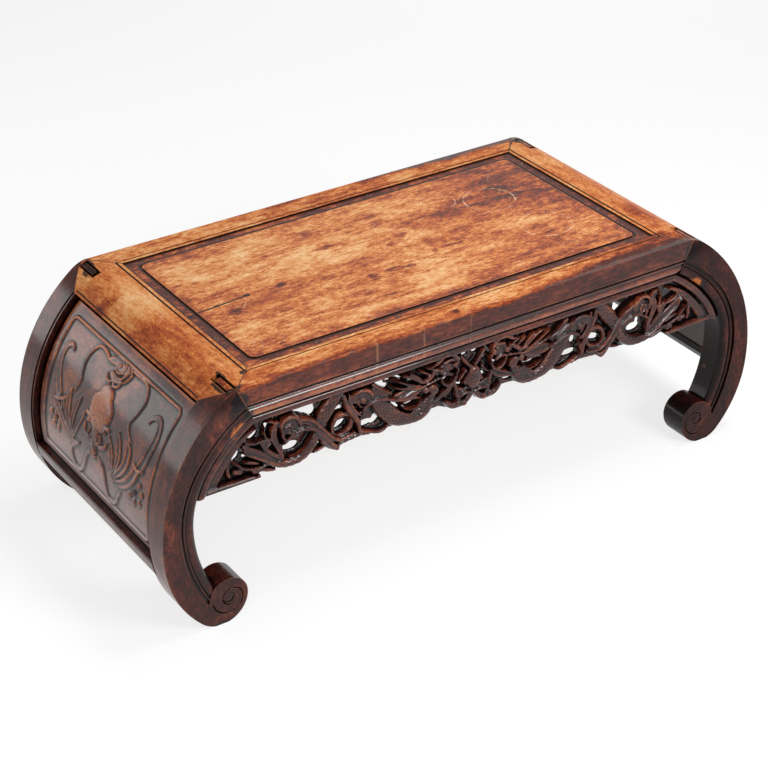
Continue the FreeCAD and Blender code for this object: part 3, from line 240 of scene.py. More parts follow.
middle_holes = (
    (395, 222, 66, 40, 0), (535, 206, 66, 26, 0), (450, 268, 50, 32, 0), (222, 432, 34, 48, 0),
    (262, 562, 86, 34, 0), (370, 540, 40, 70, -40), (85, 535, 56, 40, 0), (20, 330, 24, 34, 0),
    (570, 470, 58, 74, 0), (695, 498, 76, 31, 0), (930, 595, 56, 28, 0), (1010, 560, 40, 30, 0),
    (1080, 372, 38, 42, 0), (1195, 262, 34, 64, 0), (1290, 205, 34, 30, 0), (1225, 490, 42, 44, 0),
    (1285, 400, 30, 36, 0), (620, 225, 40, 16, -30), (720, 300, 46, 14, -25),
)
left_foot = (
    (100, 690), (640, 690), (780, 690), (860, 700), (960, 700), (1060, 695), (1170, 682), (1300, 662),
    (1400, 675), (1460, 660),
)
middle_foot = (
    (112, 645), (180, 652), (230, 670), (330, 685), (600, 690), (760, 705), (820, 695), (850, 670),
    (900, 660), (1020, 655), (1110, 700), (1200, 710), (1290, 690), (1320, 630), (1344, 592),
)
bat_strokes = (
    ("round", (14.6, (650, 128, 2.4), (560, 144, 2.8), (480, 120, 3), (422, 124, 3), (386, 172, 3.2),
        (373, 235, 3.4), (386, 292, 3.4), (399, 335, 3), (378, 400, 1.8)),
     (14.6, (700, 104, 2.2), (800, 106, 2.2), (880, 104, 2.4), (925, 120, 2.8), (962, 180, 3),
        (950, 250, 3), (919, 320, 3.2), (942, 368, 2.8), (985, 396, 1.8))),
    ("flat", (14.4, (560, 132, 4.5), (612, 122, 7.5), (660, 130, 9), (715, 132, 8))),
    ("round", (15.2, (590, 205, 1.8), (604, 228, 2.4), (634, 230, 2.4), (652, 205, 2.2), (640, 185, 1.8)),
     (15.2, (652, 205, 2.2), (672, 230, 2.4), (704, 228, 2.4), (722, 200, 2.2), (712, 180, 1.8))),
    ("flat", (14.8, (620, 190, 5), (665, 200, 6.5), (710, 190, 5))),
    ("round", (15.6, (690, 100, 1.1), (706, 128, 1.5), (692, 155, 1.5), (657, 166, 1.4), (625, 150, 1.1)),
     (15.6, (720, 100, 1.1), (738, 130, 1.5), (722, 168, 1.5), (684, 190, 1.4), (640, 184, 1.1)),
     (15.6, (746, 102, 1.1), (768, 132, 1.5), (752, 174, 1.5), (716, 200, 1.3)),
     (15.6, (655, 128, 3.2), (657, 132, 3.2))),
    ("flat", (15.8, (657, 300, 17), (657, 335, 27), (657, 375, 28.5), (657, 392, 28))),
    ("round", (15.6, (545, 438, 4.2), (600, 446, 3.2), (657, 430, 3), (715, 444, 3.2), (772, 436, 4.2)),
     (16, (577, 466, 3.6), (579, 469, 3.6)),
     (16, (737, 460, 3.6), (739, 463, 3.6))),
    ("vein", (15, (478, 658, 2.4), (428, 700, 3), (425, 755, 3.5), (460, 800, 3.8), (507, 800, 3.6),
        (550, 755, 3.4), (577, 700, 3.2), (600, 652, 3.2), (634, 620, 2.4)),
     (15, (716, 618, 2.4), (760, 645, 3.2), (785, 690, 3.4), (795, 742, 3.6), (818, 790, 3.8),
        (866, 800, 3.8), (910, 768, 3.4), (932, 722, 3), (957, 695, 1.8))),
    ("round", (14.8, (182, 612, 6.2), (184, 618, 6.2)),
     (14.6, (214, 668, 7.2), (218, 672, 7.2)),
     (14.6, (268, 672, 6.2), (270, 676, 6.2)),
     (14.8, (284, 624, 5.4), (286, 628, 5.4)),
     (14.8, (240, 588, 5), (244, 592, 5)),
     (16, (238, 626, 3.4), (240, 630, 3.4)),
     (14.8, (1138, 552, 4.2), (1142, 556, 4.2)),
     (14.8, (1164, 592, 5.4), (1166, 596, 5.4)),
     (14.6, (1148, 646, 6.6), (1150, 650, 6.6)),
     (14.6, (1096, 664, 6.2), (1098, 668, 6.2)),
     (14.8, (1050, 648, 6.2), (1052, 652, 6.2)),
     (16, (1096, 612, 3.8), (1098, 616, 3.8))),
    ("dish", (15.2, (242, 230, 2.2), (210, 217, 3.2), (173, 244, 4.2), (164, 300, 5), (178, 360, 6),
        (203, 420, 7.2), (232, 476, 8.6)),
     (14.8, (292, 500, 4), (312, 550, 6), (352, 600, 6), (402, 642, 3.4)),
     (15.4, (348, 404, 2.2), (345, 450, 5.2), (352, 510, 6.2), (376, 575, 5.6), (412, 632, 3.2)),
     (15.2, (455, 404, 2.2), (436, 445, 5), (420, 500, 5.6), (414, 560, 5), (424, 632, 2.8)),
     (15.2, (524, 452, 2), (502, 492, 4.6), (474, 550, 5.2), (452, 600, 4.2), (440, 636, 2.6)),
     (15.8, (222, 518, 4.2), (270, 562, 6.4), (338, 612, 6.8), (410, 648, 5.2), (470, 658, 3.4),
        (505, 640, 2.2))),
    ("round", (16.2, (208, 518, 2.2), (255, 506, 2.8), (300, 484, 2.6), (318, 468, 1.8))),
    ("dish", (15.2, (1062, 244, 2.2), (1078, 214, 3.4), (1120, 200, 4.4), (1154, 235, 5.6),
        (1162, 292, 6.2), (1152, 352, 7), (1134, 420, 8), (1112, 470, 8.2)),
     (15.2, (790, 458, 2), (818, 505, 5), (845, 560, 5), (868, 628, 2.6)),
     (15.4, (866, 400, 2.2), (886, 450, 5.6), (904, 515, 6), (896, 585, 4.4), (876, 632, 2.6)),
     (15.6, (964, 398, 2.2), (984, 450, 6.6), (980, 520, 7.2), (938, 585, 5.8), (893, 636, 2.8)),
     (15.9, (1084, 506, 8.4), (1052, 565, 8.8), (992, 620, 7.2), (930, 650, 4.8), (886, 658, 2.8))),
    ("round", (15.4, (836, 636, 1.8), (862, 636, 2.6), (900, 660, 2.2)),
     (16.2, (1060, 474, 2), (1100, 490, 2.8), (1140, 482, 2.2)),
     (15, (545, 500, 2.4), (556, 545, 4.6), (598, 556, 3.4)),
     (15, (785, 495, 2.4), (762, 540, 4.8), (716, 558, 3.4))),
    ("flat", (15.4, (657, 496, 9.5), (657, 540, 10.5), (660, 575, 8))),
    ("round", (15.9, (612, 500, 1.6), (600, 530, 2.4), (620, 556, 2.2)),
     (15.9, (704, 500, 1.6), (716, 530, 2.4), (694, 556, 2.2)),
     (16.6, (628, 534, 2.2), (630, 537, 2.2)),
     (16.6, (690, 534, 2.2), (692, 537, 2.2)),
     (16, (658, 548, 2), (662, 590, 4.6), (672, 612, 6.2)),
     (16.2, (640, 612, 2.2), (660, 632, 2.4), (694, 628, 2.2))),
)


def on_sheet(sheet, x, y):
    """A sheet's place in millimetres, to the nearest tenth."""
    left, top, steps = sheet
    return round(left + x / steps, 1), round(top - y / steps, 1)


def draw(relief, sheet, strokes):
    """Carves the strokes of a sheet in their order."""
    for style, *lines in strokes:
        for crest, *points in lines:
            relief.stroke(style, crest, [(*on_sheet(sheet, x, y), radius) for x, y, radius in points])


# Carving, in millimetres: steps along a line, room round it, the fall of its sides, and the cut beside it
LINE_STEP = 1.5
LINE_ROOM = 2.0
FALL_SHARE = 0.9
FALL_RADIUS = 6.0
RIM_CUT = 1.2
RIM_REACH = 0.9
SCALE_LENGTH = 4.4
RIB_LENGTH = 3.4
SHARP_ANGLE = math.radians(55)


def smooth_line(points):
    """Closely spaced points on a smooth curve through the given ones: x, z and radius."""
    p = np.array(points, float)
    p = np.vstack([2 * p[0] - p[1], p, 2 * p[-1] - p[-2]])
    out = []
    for a, b, c, d in zip(p, p[1:], p[2:], p[3:]):
        count = max(1, int(math.hypot(c[0] - b[0], c[1] - b[1]) / LINE_STEP))
        for t in np.arange(count) / count:
            out.append(b + 0.5 * t * (c - a + t * (2 * a - 5 * b + 4 * c - d + t * (3 * (b - c) + d - a))))
    out.append(p[-2])
    return np.array(out)


class Relief:
    """Height and cut-out of a carved board on a grid, in millimetres."""

    def __init__(self, x_from, x_to, z_from, z_to, cell, ground):
        self.cell = cell
        self.xs = x_from + cell * np.arange(int(round((x_to - x_from) / cell)) + 1)
        self.zs = z_from + cell * np.arange(int(round((z_to - z_from) / cell)) + 1)
        self.x, self.z = np.meshgrid(self.xs, self.zs)
        self.height = np.full(self.x.shape, float(ground))
        self.solid = np.full(self.x.shape, -50.0)

    def window(self, line):
        """The part of the grid that a line reaches."""
        reach = line[:, 2].max() + LINE_ROOM
        columns = np.searchsorted(self.xs, (line[:, 0].min() - reach, line[:, 0].max() + reach))
        rows = np.searchsorted(self.zs, (line[:, 1].min() - reach, line[:, 1].max() + reach))
        return slice(*rows), slice(*columns)

    def nearest(self, line, window):
        """For each grid place: distance from the line, its side, distance along it, and the radius there."""
        x, z = self.x[window], self.z[window]
        best = np.full(x.shape, 1e9)
        side, along, radius = (np.zeros(x.shape) for _ in range(3))
        run = 0.0
        for a, b in zip(line, line[1:]):
            dx, dz = b[0] - a[0], b[1] - a[1]
            length = math.hypot(dx, dz) or 1e-9
            t = np.clip(((x - a[0]) * dx + (z - a[1]) * dz) / length**2, 0, 1)
            gap_x, gap_z = x - a[0] - t * dx, z - a[1] - t * dz
            gap = np.hypot(gap_x, gap_z)
            nearer = gap < best
            best = np.where(nearer, gap, best)
            side = np.where(nearer, np.sign(dx * gap_z - dz * gap_x), side)
            along = np.where(nearer, run + t * length, along)
            radius = np.where(nearer, a[2] + t * (b[2] - a[2]), radius)
            run += length
        return best, side, along, radius

    def stroke(self, style, crest, points):
        """Carves one line: a raised ridge in a style, with a cut round it, and solid within its radius."""
        line = smooth_line(points)
        window = self.window(line)
        gap, side, along, radius = self.nearest(line, window)
        q = np.clip(gap / np.maximum(radius, 0.3), 0, 1)
        fall = FALL_SHARE * np.minimum(radius, FALL_RADIUS)
        dome = np.sqrt(np.clip(1 - q * q, 0, 1))
        if style == "flat":
            dome = np.sqrt(np.clip(1 - q**5, 0, 1))
        if style == "dish":
            dome = np.sqrt(np.clip(1 - q**6, 0, 1)) - 0.45 * np.clip(1 - (q / 0.8) ** 2, 0, 1)
        h = crest - fall * (1 - dome)
        v = side * q
        if style == "vein":
            h = h - 0.9 * np.exp(-((v / 0.2) ** 2))
        if style == "stripes":
            h = h + 0.55 * np.cos(v * math.pi * np.maximum(2.0, np.round(radius * 0.55)) * 2) * (1 - q**4)
        if style == "ribs":
            h = h + 0.6 * np.cos(along * 2 * math.pi / RIB_LENGTH) * (1 - q**2)
        if style == "scales":
            h = h + 1.7 * scales(along / SCALE_LENGTH, v * radius / SCALE_LENGTH) * (1 - q**6) - 1.0
        old = self.height[window]
        inside = gap < radius
        rim = np.clip(1 - np.abs(gap - radius) / RIM_REACH, 0, 1)
        beside = np.where(self.solid[window] > 0, old - RIM_CUT * rim, old)
        self.height[window] = np.where(inside, np.maximum(old, h), beside)
        self.solid[window] = np.maximum(self.solid[window], radius - gap)

    def mirror(self):
        """Adds the other half, past x = 0."""
        self.xs = np.concatenate([self.xs, -self.xs[-2::-1]])
        self.x, self.z = np.meshgrid(self.xs, self.zs)
        self.height = np.hstack([self.height, self.height[:, -2::-1]])
        self.solid = np.hstack([self.solid, self.solid[:, -2::-1]])

    def outside(self, half, top, low):
        """Distance outside a rectangle, less than nothing within it."""
        return np.maximum(np.abs(self.x) - half, np.maximum(self.z - top, low - self.z))

    def hole(self, x, z, half_x, half_z, turn):
        """Distance outside an ellipse, less than nothing within it."""
        c, s = math.cos(math.radians(turn)), math.sin(math.radians(turn))
        dx, dz = self.x - x, self.z - z
        a, b = (dx * c + dz * s) / half_x, (-dx * s + dz * c) / half_z
        return (np.hypot(a, b) - 1) * min(half_x, half_z)


def scales(u, v):
    """Rows of round scales, 0 between them and 1 at their middles."""
    out = np.zeros(u.shape)
    for step in (0, 1):
        row = np.floor(u) + step
        shift = 0.5 * np.mod(row, 2)
        column = np.round(v - shift) + shift
        out = np.maximum(out, 1 - (u - row) ** 2 - ((v - column) / 0.55) ** 2)
    return np.clip(out * 2.2 - 0.7, 0, 1) ** 0.6


def blur(a, times=1):
    """Each value mixed with its neighbours."""
    for _ in range(times):
        p = np.pad(a, 1, mode="edge")
        a = (p[:-2] + 2 * p[1:-1] + p[2:]) / 4
        a = (a[:, :-2] + 2 * a[:, 1:-1] + a[:, 2:]) / 4
    return a


def outline_cells(solid):
    """Cuts each cell of the grid along the line where solid is 0. Gives the pieces' corners and rims."""
    inside = solid > 0
    rows, columns = solid.shape
    corner_id = np.full(solid.shape, -1)
    corner_id[inside] = np.arange(inside.sum())
    count = int(inside.sum())
    across = inside[:, 1:] != inside[:, :-1]
    across_id = np.full(across.shape, -1)
    across_id[across] = count + np.arange(across.sum())
    count += int(across.sum())
    upward = inside[1:] != inside[:-1]
    upward_id = np.full(upward.shape, -1)
    upward_id[upward] = count + np.arange(upward.sum())
    code = inside[:-1, :-1] * 1 + inside[:-1, 1:] * 2 + inside[1:, 1:] * 4 + inside[1:, :-1] * 8
    picks = (
        corner_id[:-1, :-1], corner_id[:-1, 1:], corner_id[1:, 1:], corner_id[1:, :-1],
        across_id[:-1], upward_id[:, 1:], across_id[1:], upward_id[:, :-1],
    )
    faces, rims = [], []
    for case in range(1, 16):
        here = np.nonzero(code == case)
        if not len(here[0]):
            continue
        ring, exits, entries = [], [], []
        for k in range(4):
            now, after = case >> k & 1, case >> (k + 1) % 4 & 1
            if now:
                ring.append(k)
            if now != after:
                ring.append(4 + k)
                (exits if now else entries).append(4 + k)
        faces.extend(np.stack([picks[k][here] for k in ring], 1).tolist())
        for start in exits:
            end = ring[(ring.index(start) + 1) % len(ring)]
            rims.append(np.stack([picks[start][here], picks[end][here]], 1))
    return inside, across, upward, faces, np.vstack(rims)


def gather(values, solid, inside, across, upward):
    """A grid's values at the corners that the cut cells use."""
    t = np.clip(solid[:, :-1] / (solid[:, :-1] - solid[:, 1:] + 1e-12), 0.03, 0.97)
    along = values[:, :-1] + t * (values[:, 1:] - values[:, :-1])
    t = np.clip(solid[:-1] / (solid[:-1] - solid[1:] + 1e-12), 0.03, 0.97)
    up = values[:-1] + t * (values[1:] - values[:-1])
    return np.concatenate([values[inside], along[across], up[upward]])


def carved_mesh(name, relief, place, flipped=False, back_step=0):
    """A solid board with that relief on its front. place(x, z, height) gives points in metres.
    A curved board has points on its back as well, back_step cells apart."""
    inside, across, upward, faces, rims = outline_cells(relief.solid)
    hollow = blur(relief.height, 14) + 1.6 * blur(relief.height, 3) - 2.6 * relief.height
    x, z, height, hollow = (
        gather(v, relief.solid, inside, across, upward) for v in (relief.x, relief.z, relief.height, hollow)
    )
    count = len(x)
    on_rim = np.unique(rims)
    if back_step:
        chosen = np.zeros(relief.solid.shape, bool)
        chosen[::back_step, ::back_step] = True
        extra = np.nonzero((chosen & (relief.solid > relief.cell * back_step / 2))[inside])[0]
        on_rim = np.concatenate([on_rim, extra])
    to_back = np.full(count, -1)
    to_back[on_rim] = count + np.arange(len(on_rim))
    walls = np.stack([rims[:, 1], rims[:, 0], to_back[rims[:, 0]], to_back[rims[:, 1]]], 1).tolist()
    rank = np.full(count, -1)
    rank[on_rim] = np.arange(len(on_rim))
    flat = [Vector((float(a), float(b))) for a, b in zip(x[on_rim], z[on_rim])]
    points, _, triangles, origin, _, _ = delaunay_2d_cdt(flat, rank[rims].tolist(), [], 0, 1e-6)
    origin = [o[0] if o else -1 for o in origin]
    backs = []
    for a, b, c in triangles:
        mid = (points[a] + points[b] + points[c]) / 3
        i = (mid.x - relief.xs[0]) / relief.cell
        j = (mid.y - relief.zs[0]) / relief.cell
        i0, j0 = min(int(i), len(relief.xs) - 2), min(int(j), len(relief.zs) - 2)
        u, v = i - i0, j - j0
        s = relief.solid[j0:j0 + 2, i0:i0 + 2]
        level = (s[0, 0] * (1 - u) + s[0, 1] * u) * (1 - v) + (s[1, 0] * (1 - u) + s[1, 1] * u) * v
        if level > 0 and min(origin[a], origin[b], origin[c]) >= 0:
            corners = [int(count + origin[k]) for k in (a, b, c)]
            area = (points[b] - points[a]).cross(points[c] - points[a])
            backs.append(corners[::-1] if area > 0 else corners)
    front = place(x, z, height)
    back = place(x[on_rim], z[on_rim], np.zeros(len(on_rim)))
    places = np.vstack([front, back])
    faces = faces + walls + backs
    if flipped:
        places[:, 0] *= -1
        faces = [f[::-1] for f in faces]
    mesh = bpy.data.meshes.new(name)
    mesh.from_pydata(places.tolist(), [], faces)
    # Points on the back count as deep, so the walls and the back take the materials' painted shade of the
    # hollows.
    levels = np.concatenate([hollow, hollow[on_rim] + 4])
    mesh.attributes.new("hollow", "FLOAT", "POINT")
    mesh.attributes["hollow"].data.foreach_set("value", levels.astype(np.float32))
    mesh.shade_smooth()
    mesh.set_sharp_from_angle(angle=SHARP_ANGLE)
    mesh.update()
    return mesh


def rounded_edges(relief, radius, highest):
    """Rounds the front edge all round, softens the steps and keeps all below a height."""
    share = np.clip(relief.solid / radius, 0, 1)
    height = np.minimum(relief.height, highest)
    relief.height = blur(height - radius * (1 - np.sqrt(np.clip(1 - (1 - share) ** 2, 0, 1))))


class Graph:
    """The nodes of one material. Places are in metres, in the table's own frame."""

    def __init__(self, name):
        self.material = bpy.data.materials.new(name)
        self.material.use_nodes = True
        self.tree = self.material.node_tree
        self.tree.nodes.clear()
        self.place = self.add("ShaderNodeTexCoord").outputs["Object"]
        split = self.add("ShaderNodeSeparateXYZ", {"Vector": self.place})
        self.x, self.y, self.z = split.outputs
        normal = self.add("ShaderNodeNewGeometry").outputs["Normal"]
        self.normal = self.add("ShaderNodeSeparateXYZ", {"Vector": normal}).outputs

    def add(self, kind, inputs=None, **settings):
        node = self.tree.nodes.new(kind)
        for key, value in settings.items():
            setattr(node, key, value)
        for key, value in (inputs or {}).items():
            self.put(node.inputs[key], value)
        return node

    def put(self, socket, value):
        if isinstance(value, bpy.types.NodeSocket):
            self.tree.links.new(value, socket)
        else:
            socket.default_value = value

    def math(self, operation, a, b=0.0):
        return self.add("ShaderNodeMath", {0: a, 1: b}, operation=operation).outputs[0]

    def times(self, a, b):
        return self.math("MULTIPLY", a, b)

    def plus(self, a, b):
        return self.math("ADD", a, b)

    def minus(self, a, b):
        return self.math("SUBTRACT", a, b)

    def absolute(self, a):
        return self.math("ABSOLUTE", a)

    def larger(self, a, b):
        return self.math("MAXIMUM", a, b)

    def ramp(self, value, low, high, to_low=0.0, to_high=1.0):
        """A smooth step from to_low to to_high."""
        inputs = {"Value": value, "From Min": low, "From Max": high, "To Min": to_low, "To Max": to_high}
        return self.add("ShaderNodeMapRange", inputs, interpolation_type="SMOOTHSTEP").outputs["Result"]

    def mix(self, share, a, b):
        """The colour a, with a share of b."""
        node = self.add("ShaderNodeMix", data_type="RGBA", clamp_factor=True)
        self.put(node.inputs[0], share)
        self.put(node.inputs[6], a)
        self.put(node.inputs[7], b)
        return node.outputs[2]

    def tones(self, value, stops):
        """A colour from a number from 0 to 1, by a row of tones."""
        node = self.add("ShaderNodeValToRGB", {"Fac": value})
        row = node.color_ramp.elements
        for place, *_ in stops[1:-1]:
            row.new(place)
        for element, (place, *levels) in zip(row, stops):
            element.position = place
            element.color = tone(*levels)
        return node.outputs["Color"]

    def scaled(self, scale, shift, turn):
        """The place turned about Z, scaled and shifted."""
        place = self.place
        if turn:
            place = self.add("ShaderNodeMapping", {"Vector": place, "Rotation": (0.0, 0.0, turn)}).outputs[0]
        return self.add("ShaderNodeMapping", {"Vector": place, "Location": shift, "Scale": scale}).outputs[0]

    def noise(self, scale, detail=3.0, roughness=0.55, shift=(0.0, 0.0, 0.0), distortion=0.0, turn=0.0):
        """Noise with so many waves to the metre along X, Y and Z."""
        inputs = {"Vector": self.scaled(scale, shift, turn), "Scale": 1.0, "Detail": detail}
        inputs.update({"Roughness": roughness, "Distortion": distortion})
        return self.add("ShaderNodeTexNoise", inputs).outputs[0]

    def distance(self, centre, radii):
        """Distance from a point in units of the radii."""
        kind = "ShaderNodeVectorMath"
        shift = self.add(kind, {0: self.place, 1: centre}, operation="SUBTRACT").outputs[0]
        shares = tuple(1.0 / radius for radius in radii)
        stretch = self.add(kind, {0: shift, 1: shares}, operation="MULTIPLY").outputs[0]
        return self.add(kind, {0: stretch}, operation="LENGTH").outputs["Value"]

    def finish(self, colour, roughness, bump, bump_height, edge=0.0006, **others):
        """The shader, with a fine relief and softened edges. Others are more of its sockets."""
        shader = self.add("ShaderNodeBsdfPrincipled", {"Base Color": colour, "Roughness": roughness})
        for key, value in others.items():
            self.put(shader.inputs[key.replace("_", " ")], value)
        relief = self.add("ShaderNodeBump", {"Height": bump, "Distance": bump_height, "Strength": 1.0})
        if edge:
            soft = self.add("ShaderNodeBevel", {"Radius": edge}, samples=4)
            self.put(relief.inputs["Normal"], soft.outputs[0])
        self.put(shader.inputs["Normal"], relief.outputs[0])
        self.add("ShaderNodeOutputMaterial", {"Surface": shader.outputs[0]})
        return self.material

    def crevice_shade(self, reach=0.006):
        """1 in the corners and grooves, by ambient occlusion. The materials use it as painted shade there,
        with the dirt and old lacquer that collect in them.
        """
        node = self.add("ShaderNodeAmbientOcclusion", {"Distance": reach}, samples=6)
        return self.minus(1.0, node.outputs["AO"])

    def arris(self):
        """1 on edges, where hands and cloths wear the finish through. The top panel also uses it for a
        painted highlight along its rounded edges.
        """
        soft = self.add("ShaderNodeBevel", {"Radius": WORN_EDGE}, samples=4).outputs[0]
        true = self.add("ShaderNodeNewGeometry").outputs["Normal"]
        dot = self.add("ShaderNodeVectorMath", {0: soft, 1: true}, operation="DOT_PRODUCT").outputs["Value"]
        return self.minus(1.0, dot)

    def facing_up(self, low=0.6, high=0.9):
        return self.ramp(self.normal[2], low, high)

    def worn_edges(self):
        """A ragged share of the edges."""
        ragged = self.ramp(self.noise((24, 24, 24), 3, 0.6), 0.38, 0.62)
        return self.times(self.ramp(self.arris(), 0.03, 0.2), ragged)

    def hollow(self):
        """How deep a place lies in the carving."""
        return self.add("ShaderNodeAttribute", attribute_name="hollow").outputs["Fac"]


def grain(g, scale, shift=(0.0, 0.0, 0.0)):
    """Grain along the axis with the smallest scale: a number round 0.5 from coarse to fine layers."""
    a, b, c = scale
    coarse = g.noise((a, b, c), 8, 0.66, shift, 0.8)
    middle = g.noise((a * 4, b * 3.4, c * 3.4), 6, 0.7, shift)
    fine = g.noise((a * 13, b * 14, c * 14), 4, 0.75, shift)
    flakes = g.noise((170, 170, 170), 3, 0.8, shift)
    total = g.plus(g.times(coarse, 0.9), g.times(middle, 0.75))
    total = g.plus(total, g.plus(g.times(fine, 0.9), g.times(flakes, 0.35)))
    return g.plus(total, -0.95), fine


def patched(g, value, patches, softness=1.0):
    """Adds patches with ragged edges to a number on the top."""
    ragged = g.times(g.plus(g.noise((38 / softness, 90 / softness, 40), 5, 0.75), -0.5), 3.2)
    for x, y, length, width, shift in patches:
        place = (x / 1000, y / 1000, TOP_LEVEL)
        away = g.plus(g.distance(place, (length / 1000, width / 1000, 1.0)), ragged)
        value = g.plus(value, g.ramp(away, 1.0 + 0.6 * softness, 0.8 - 0.6 * softness, 0.0, shift))
    return value


def scratches(g, colour):
    """Fine pale scratches that run across the grain."""
    for turn, shift in ((0.7, 0.0), (-0.5, 3.3)):
        fine = g.noise((380, 22, 16), 2, 0.5, (shift, 0, 0), 0.4, turn)
        where = g.ramp(g.noise((16, 22, 16), 2, 0.5, (8, 3 + shift, 0)), 0.46, 0.62)
        where = g.times(where, g.facing_up(0.9, 0.99))
        colour = g.mix(g.times(g.times(g.ramp(fine, 0.62, 0.72), where), 0.25), colour, tone(246, 214, 176))
    return colour


def mitres(g, colour):
    """The dark lines of the four mitres of the top."""
    x = g.plus(g.absolute(g.x), -OPENING_HALF[0])
    y = g.plus(g.absolute(g.y), -OPENING_HALF[1])
    gap = g.absolute(g.minus(g.times(x, 0.74), g.times(y, 0.6727)))
    gap = g.minus(gap, g.times(g.noise((120, 120, 60), 3, 0.6), 0.0008))
    open_corner = g.ramp(g.distance((0.334, 0.194, TOP_LEVEL), (0.03, 0.034, 0.03)), 1.0, 0.5, 0.0, -0.0012)
    line = g.times(g.ramp(g.plus(gap, open_corner), 0.0008, 0.0001), g.ramp(y, -0.002, 0.0))
    return g.mix(g.times(line, 0.9), colour, tone(26, 10, 8))


def outside(g, half_x, half_y, corner):
    """Distance outside a rounded rectangle on the top, in metres."""
    across = g.plus(g.absolute(g.x), corner - half_x)
    beside = g.plus(g.absolute(g.y), corner - half_y)
    if not corner:
        return g.larger(across, beside)
    across, beside = g.larger(across, 0.0), g.larger(beside, 0.0)
    reach = g.math("SQRT", g.plus(g.times(across, across), g.times(beside, beside)))
    return g.plus(reach, -corner)


def panel_wood():
    g = Graph("panel_wood")
    value, fine = grain(g, (9, 24, 20), (0.3, 0.9, 0))
    value = patched(g, g.plus(g.times(value, 1.35), -0.175), top_patches)
    streaks = g.ramp(g.noise((12, 150, 40), 3, 0.6, (4, 4, 0)), 0.55, 0.70, 0.0, 0.16)
    value = g.plus(g.plus(value, streaks), g.ramp(g.x, -0.02, 0.26, 0.0, 0.11))
    value = patched(g, value, [(*spot, 0.34) for spot in top_spots], 0.6)
    edge = outside(g, *FIELD_HALF, FIELD_CORNER)
    value = g.plus(value, g.ramp(edge, -0.016, -0.001, 0.0, 0.12))
    margin = g.ramp(g.noise((26, 26, 26), 7, 0.75, (5, 2, 0)), 0.38, 0.62, 0.04, 0.42)
    value = g.plus(value, g.times(margin, g.ramp(edge, -0.0005, 0.001)))
    colour = scratches(g, g.tones(value, worn_tones))
    ragged = g.ramp(g.noise((60, 140, 60), 3, 0.6), 0.42, 0.6)
    for x, y, radius in top_rings:
        place = (x / 1000, y / 1000, TOP_LEVEL)
        gap = g.distance(place, (radius / 1000, radius / 1000, 1.0))
        gap = g.absolute(g.minus(gap, 1.0))
        ring = g.times(g.ramp(gap, 0.05, 0.01), ragged)
        colour = g.mix(g.times(ring, 0.65), colour, tone(240, 206, 168))
    bend = g.times(g.noise((30, 30, 30), 3, 0.6), 0.004)
    middle = g.plus(g.plus(g.times(g.x, 0.09), 0.0135), bend)
    reach = g.ramp(g.absolute(g.plus(g.x, 0.253)), 0.046, 0.041)
    crack = g.times(g.ramp(g.absolute(g.minus(g.y, middle)), 0.002, 0.001), reach)
    for x, y, radius in crack_knots:
        knot = g.distance((x, y, TOP_LEVEL), (radius, radius * 0.7, 1.0))
        crack = g.larger(crack, g.ramp(knot, 1.1, 0.7))
    colour = g.mix(crack, colour, tone(28, 12, 9))
    # Pale edges: worn lacquer, and partly a painted highlight along the field's rounded edge.
    colour = g.mix(g.times(g.ramp(g.arris(), 0.02, 0.2), 0.6), colour, tone(224, 160, 108))
    # Painted shade: the crevices and the groove round the field are darkened as if in shadow, with their
    # dirt; the lip line is the dark joint along the frame.
    groove = g.ramp(g.absolute(g.plus(edge, -0.0008)), 0.0032, 0.0012)
    lip = g.ramp(outside(g, *LIP_HALF, 0.0), -0.0008, 0.0018)
    shade_and_dirt = g.larger(g.ramp(g.crevice_shade(), 0.05, 0.34), g.times(g.larger(groove, lip), 0.85))
    colour = g.mix(shade_and_dirt, colour, tone(34, 11, 9))
    rough = g.ramp(value, 0.2, 0.8, 0.5, 0.36)
    gloss = {"Coat_Weight": 0.05, "Coat_Roughness": 0.25, "Specular_IOR_Level": 0.15}
    return g.finish(colour, rough, fine, 0.0003, **gloss)


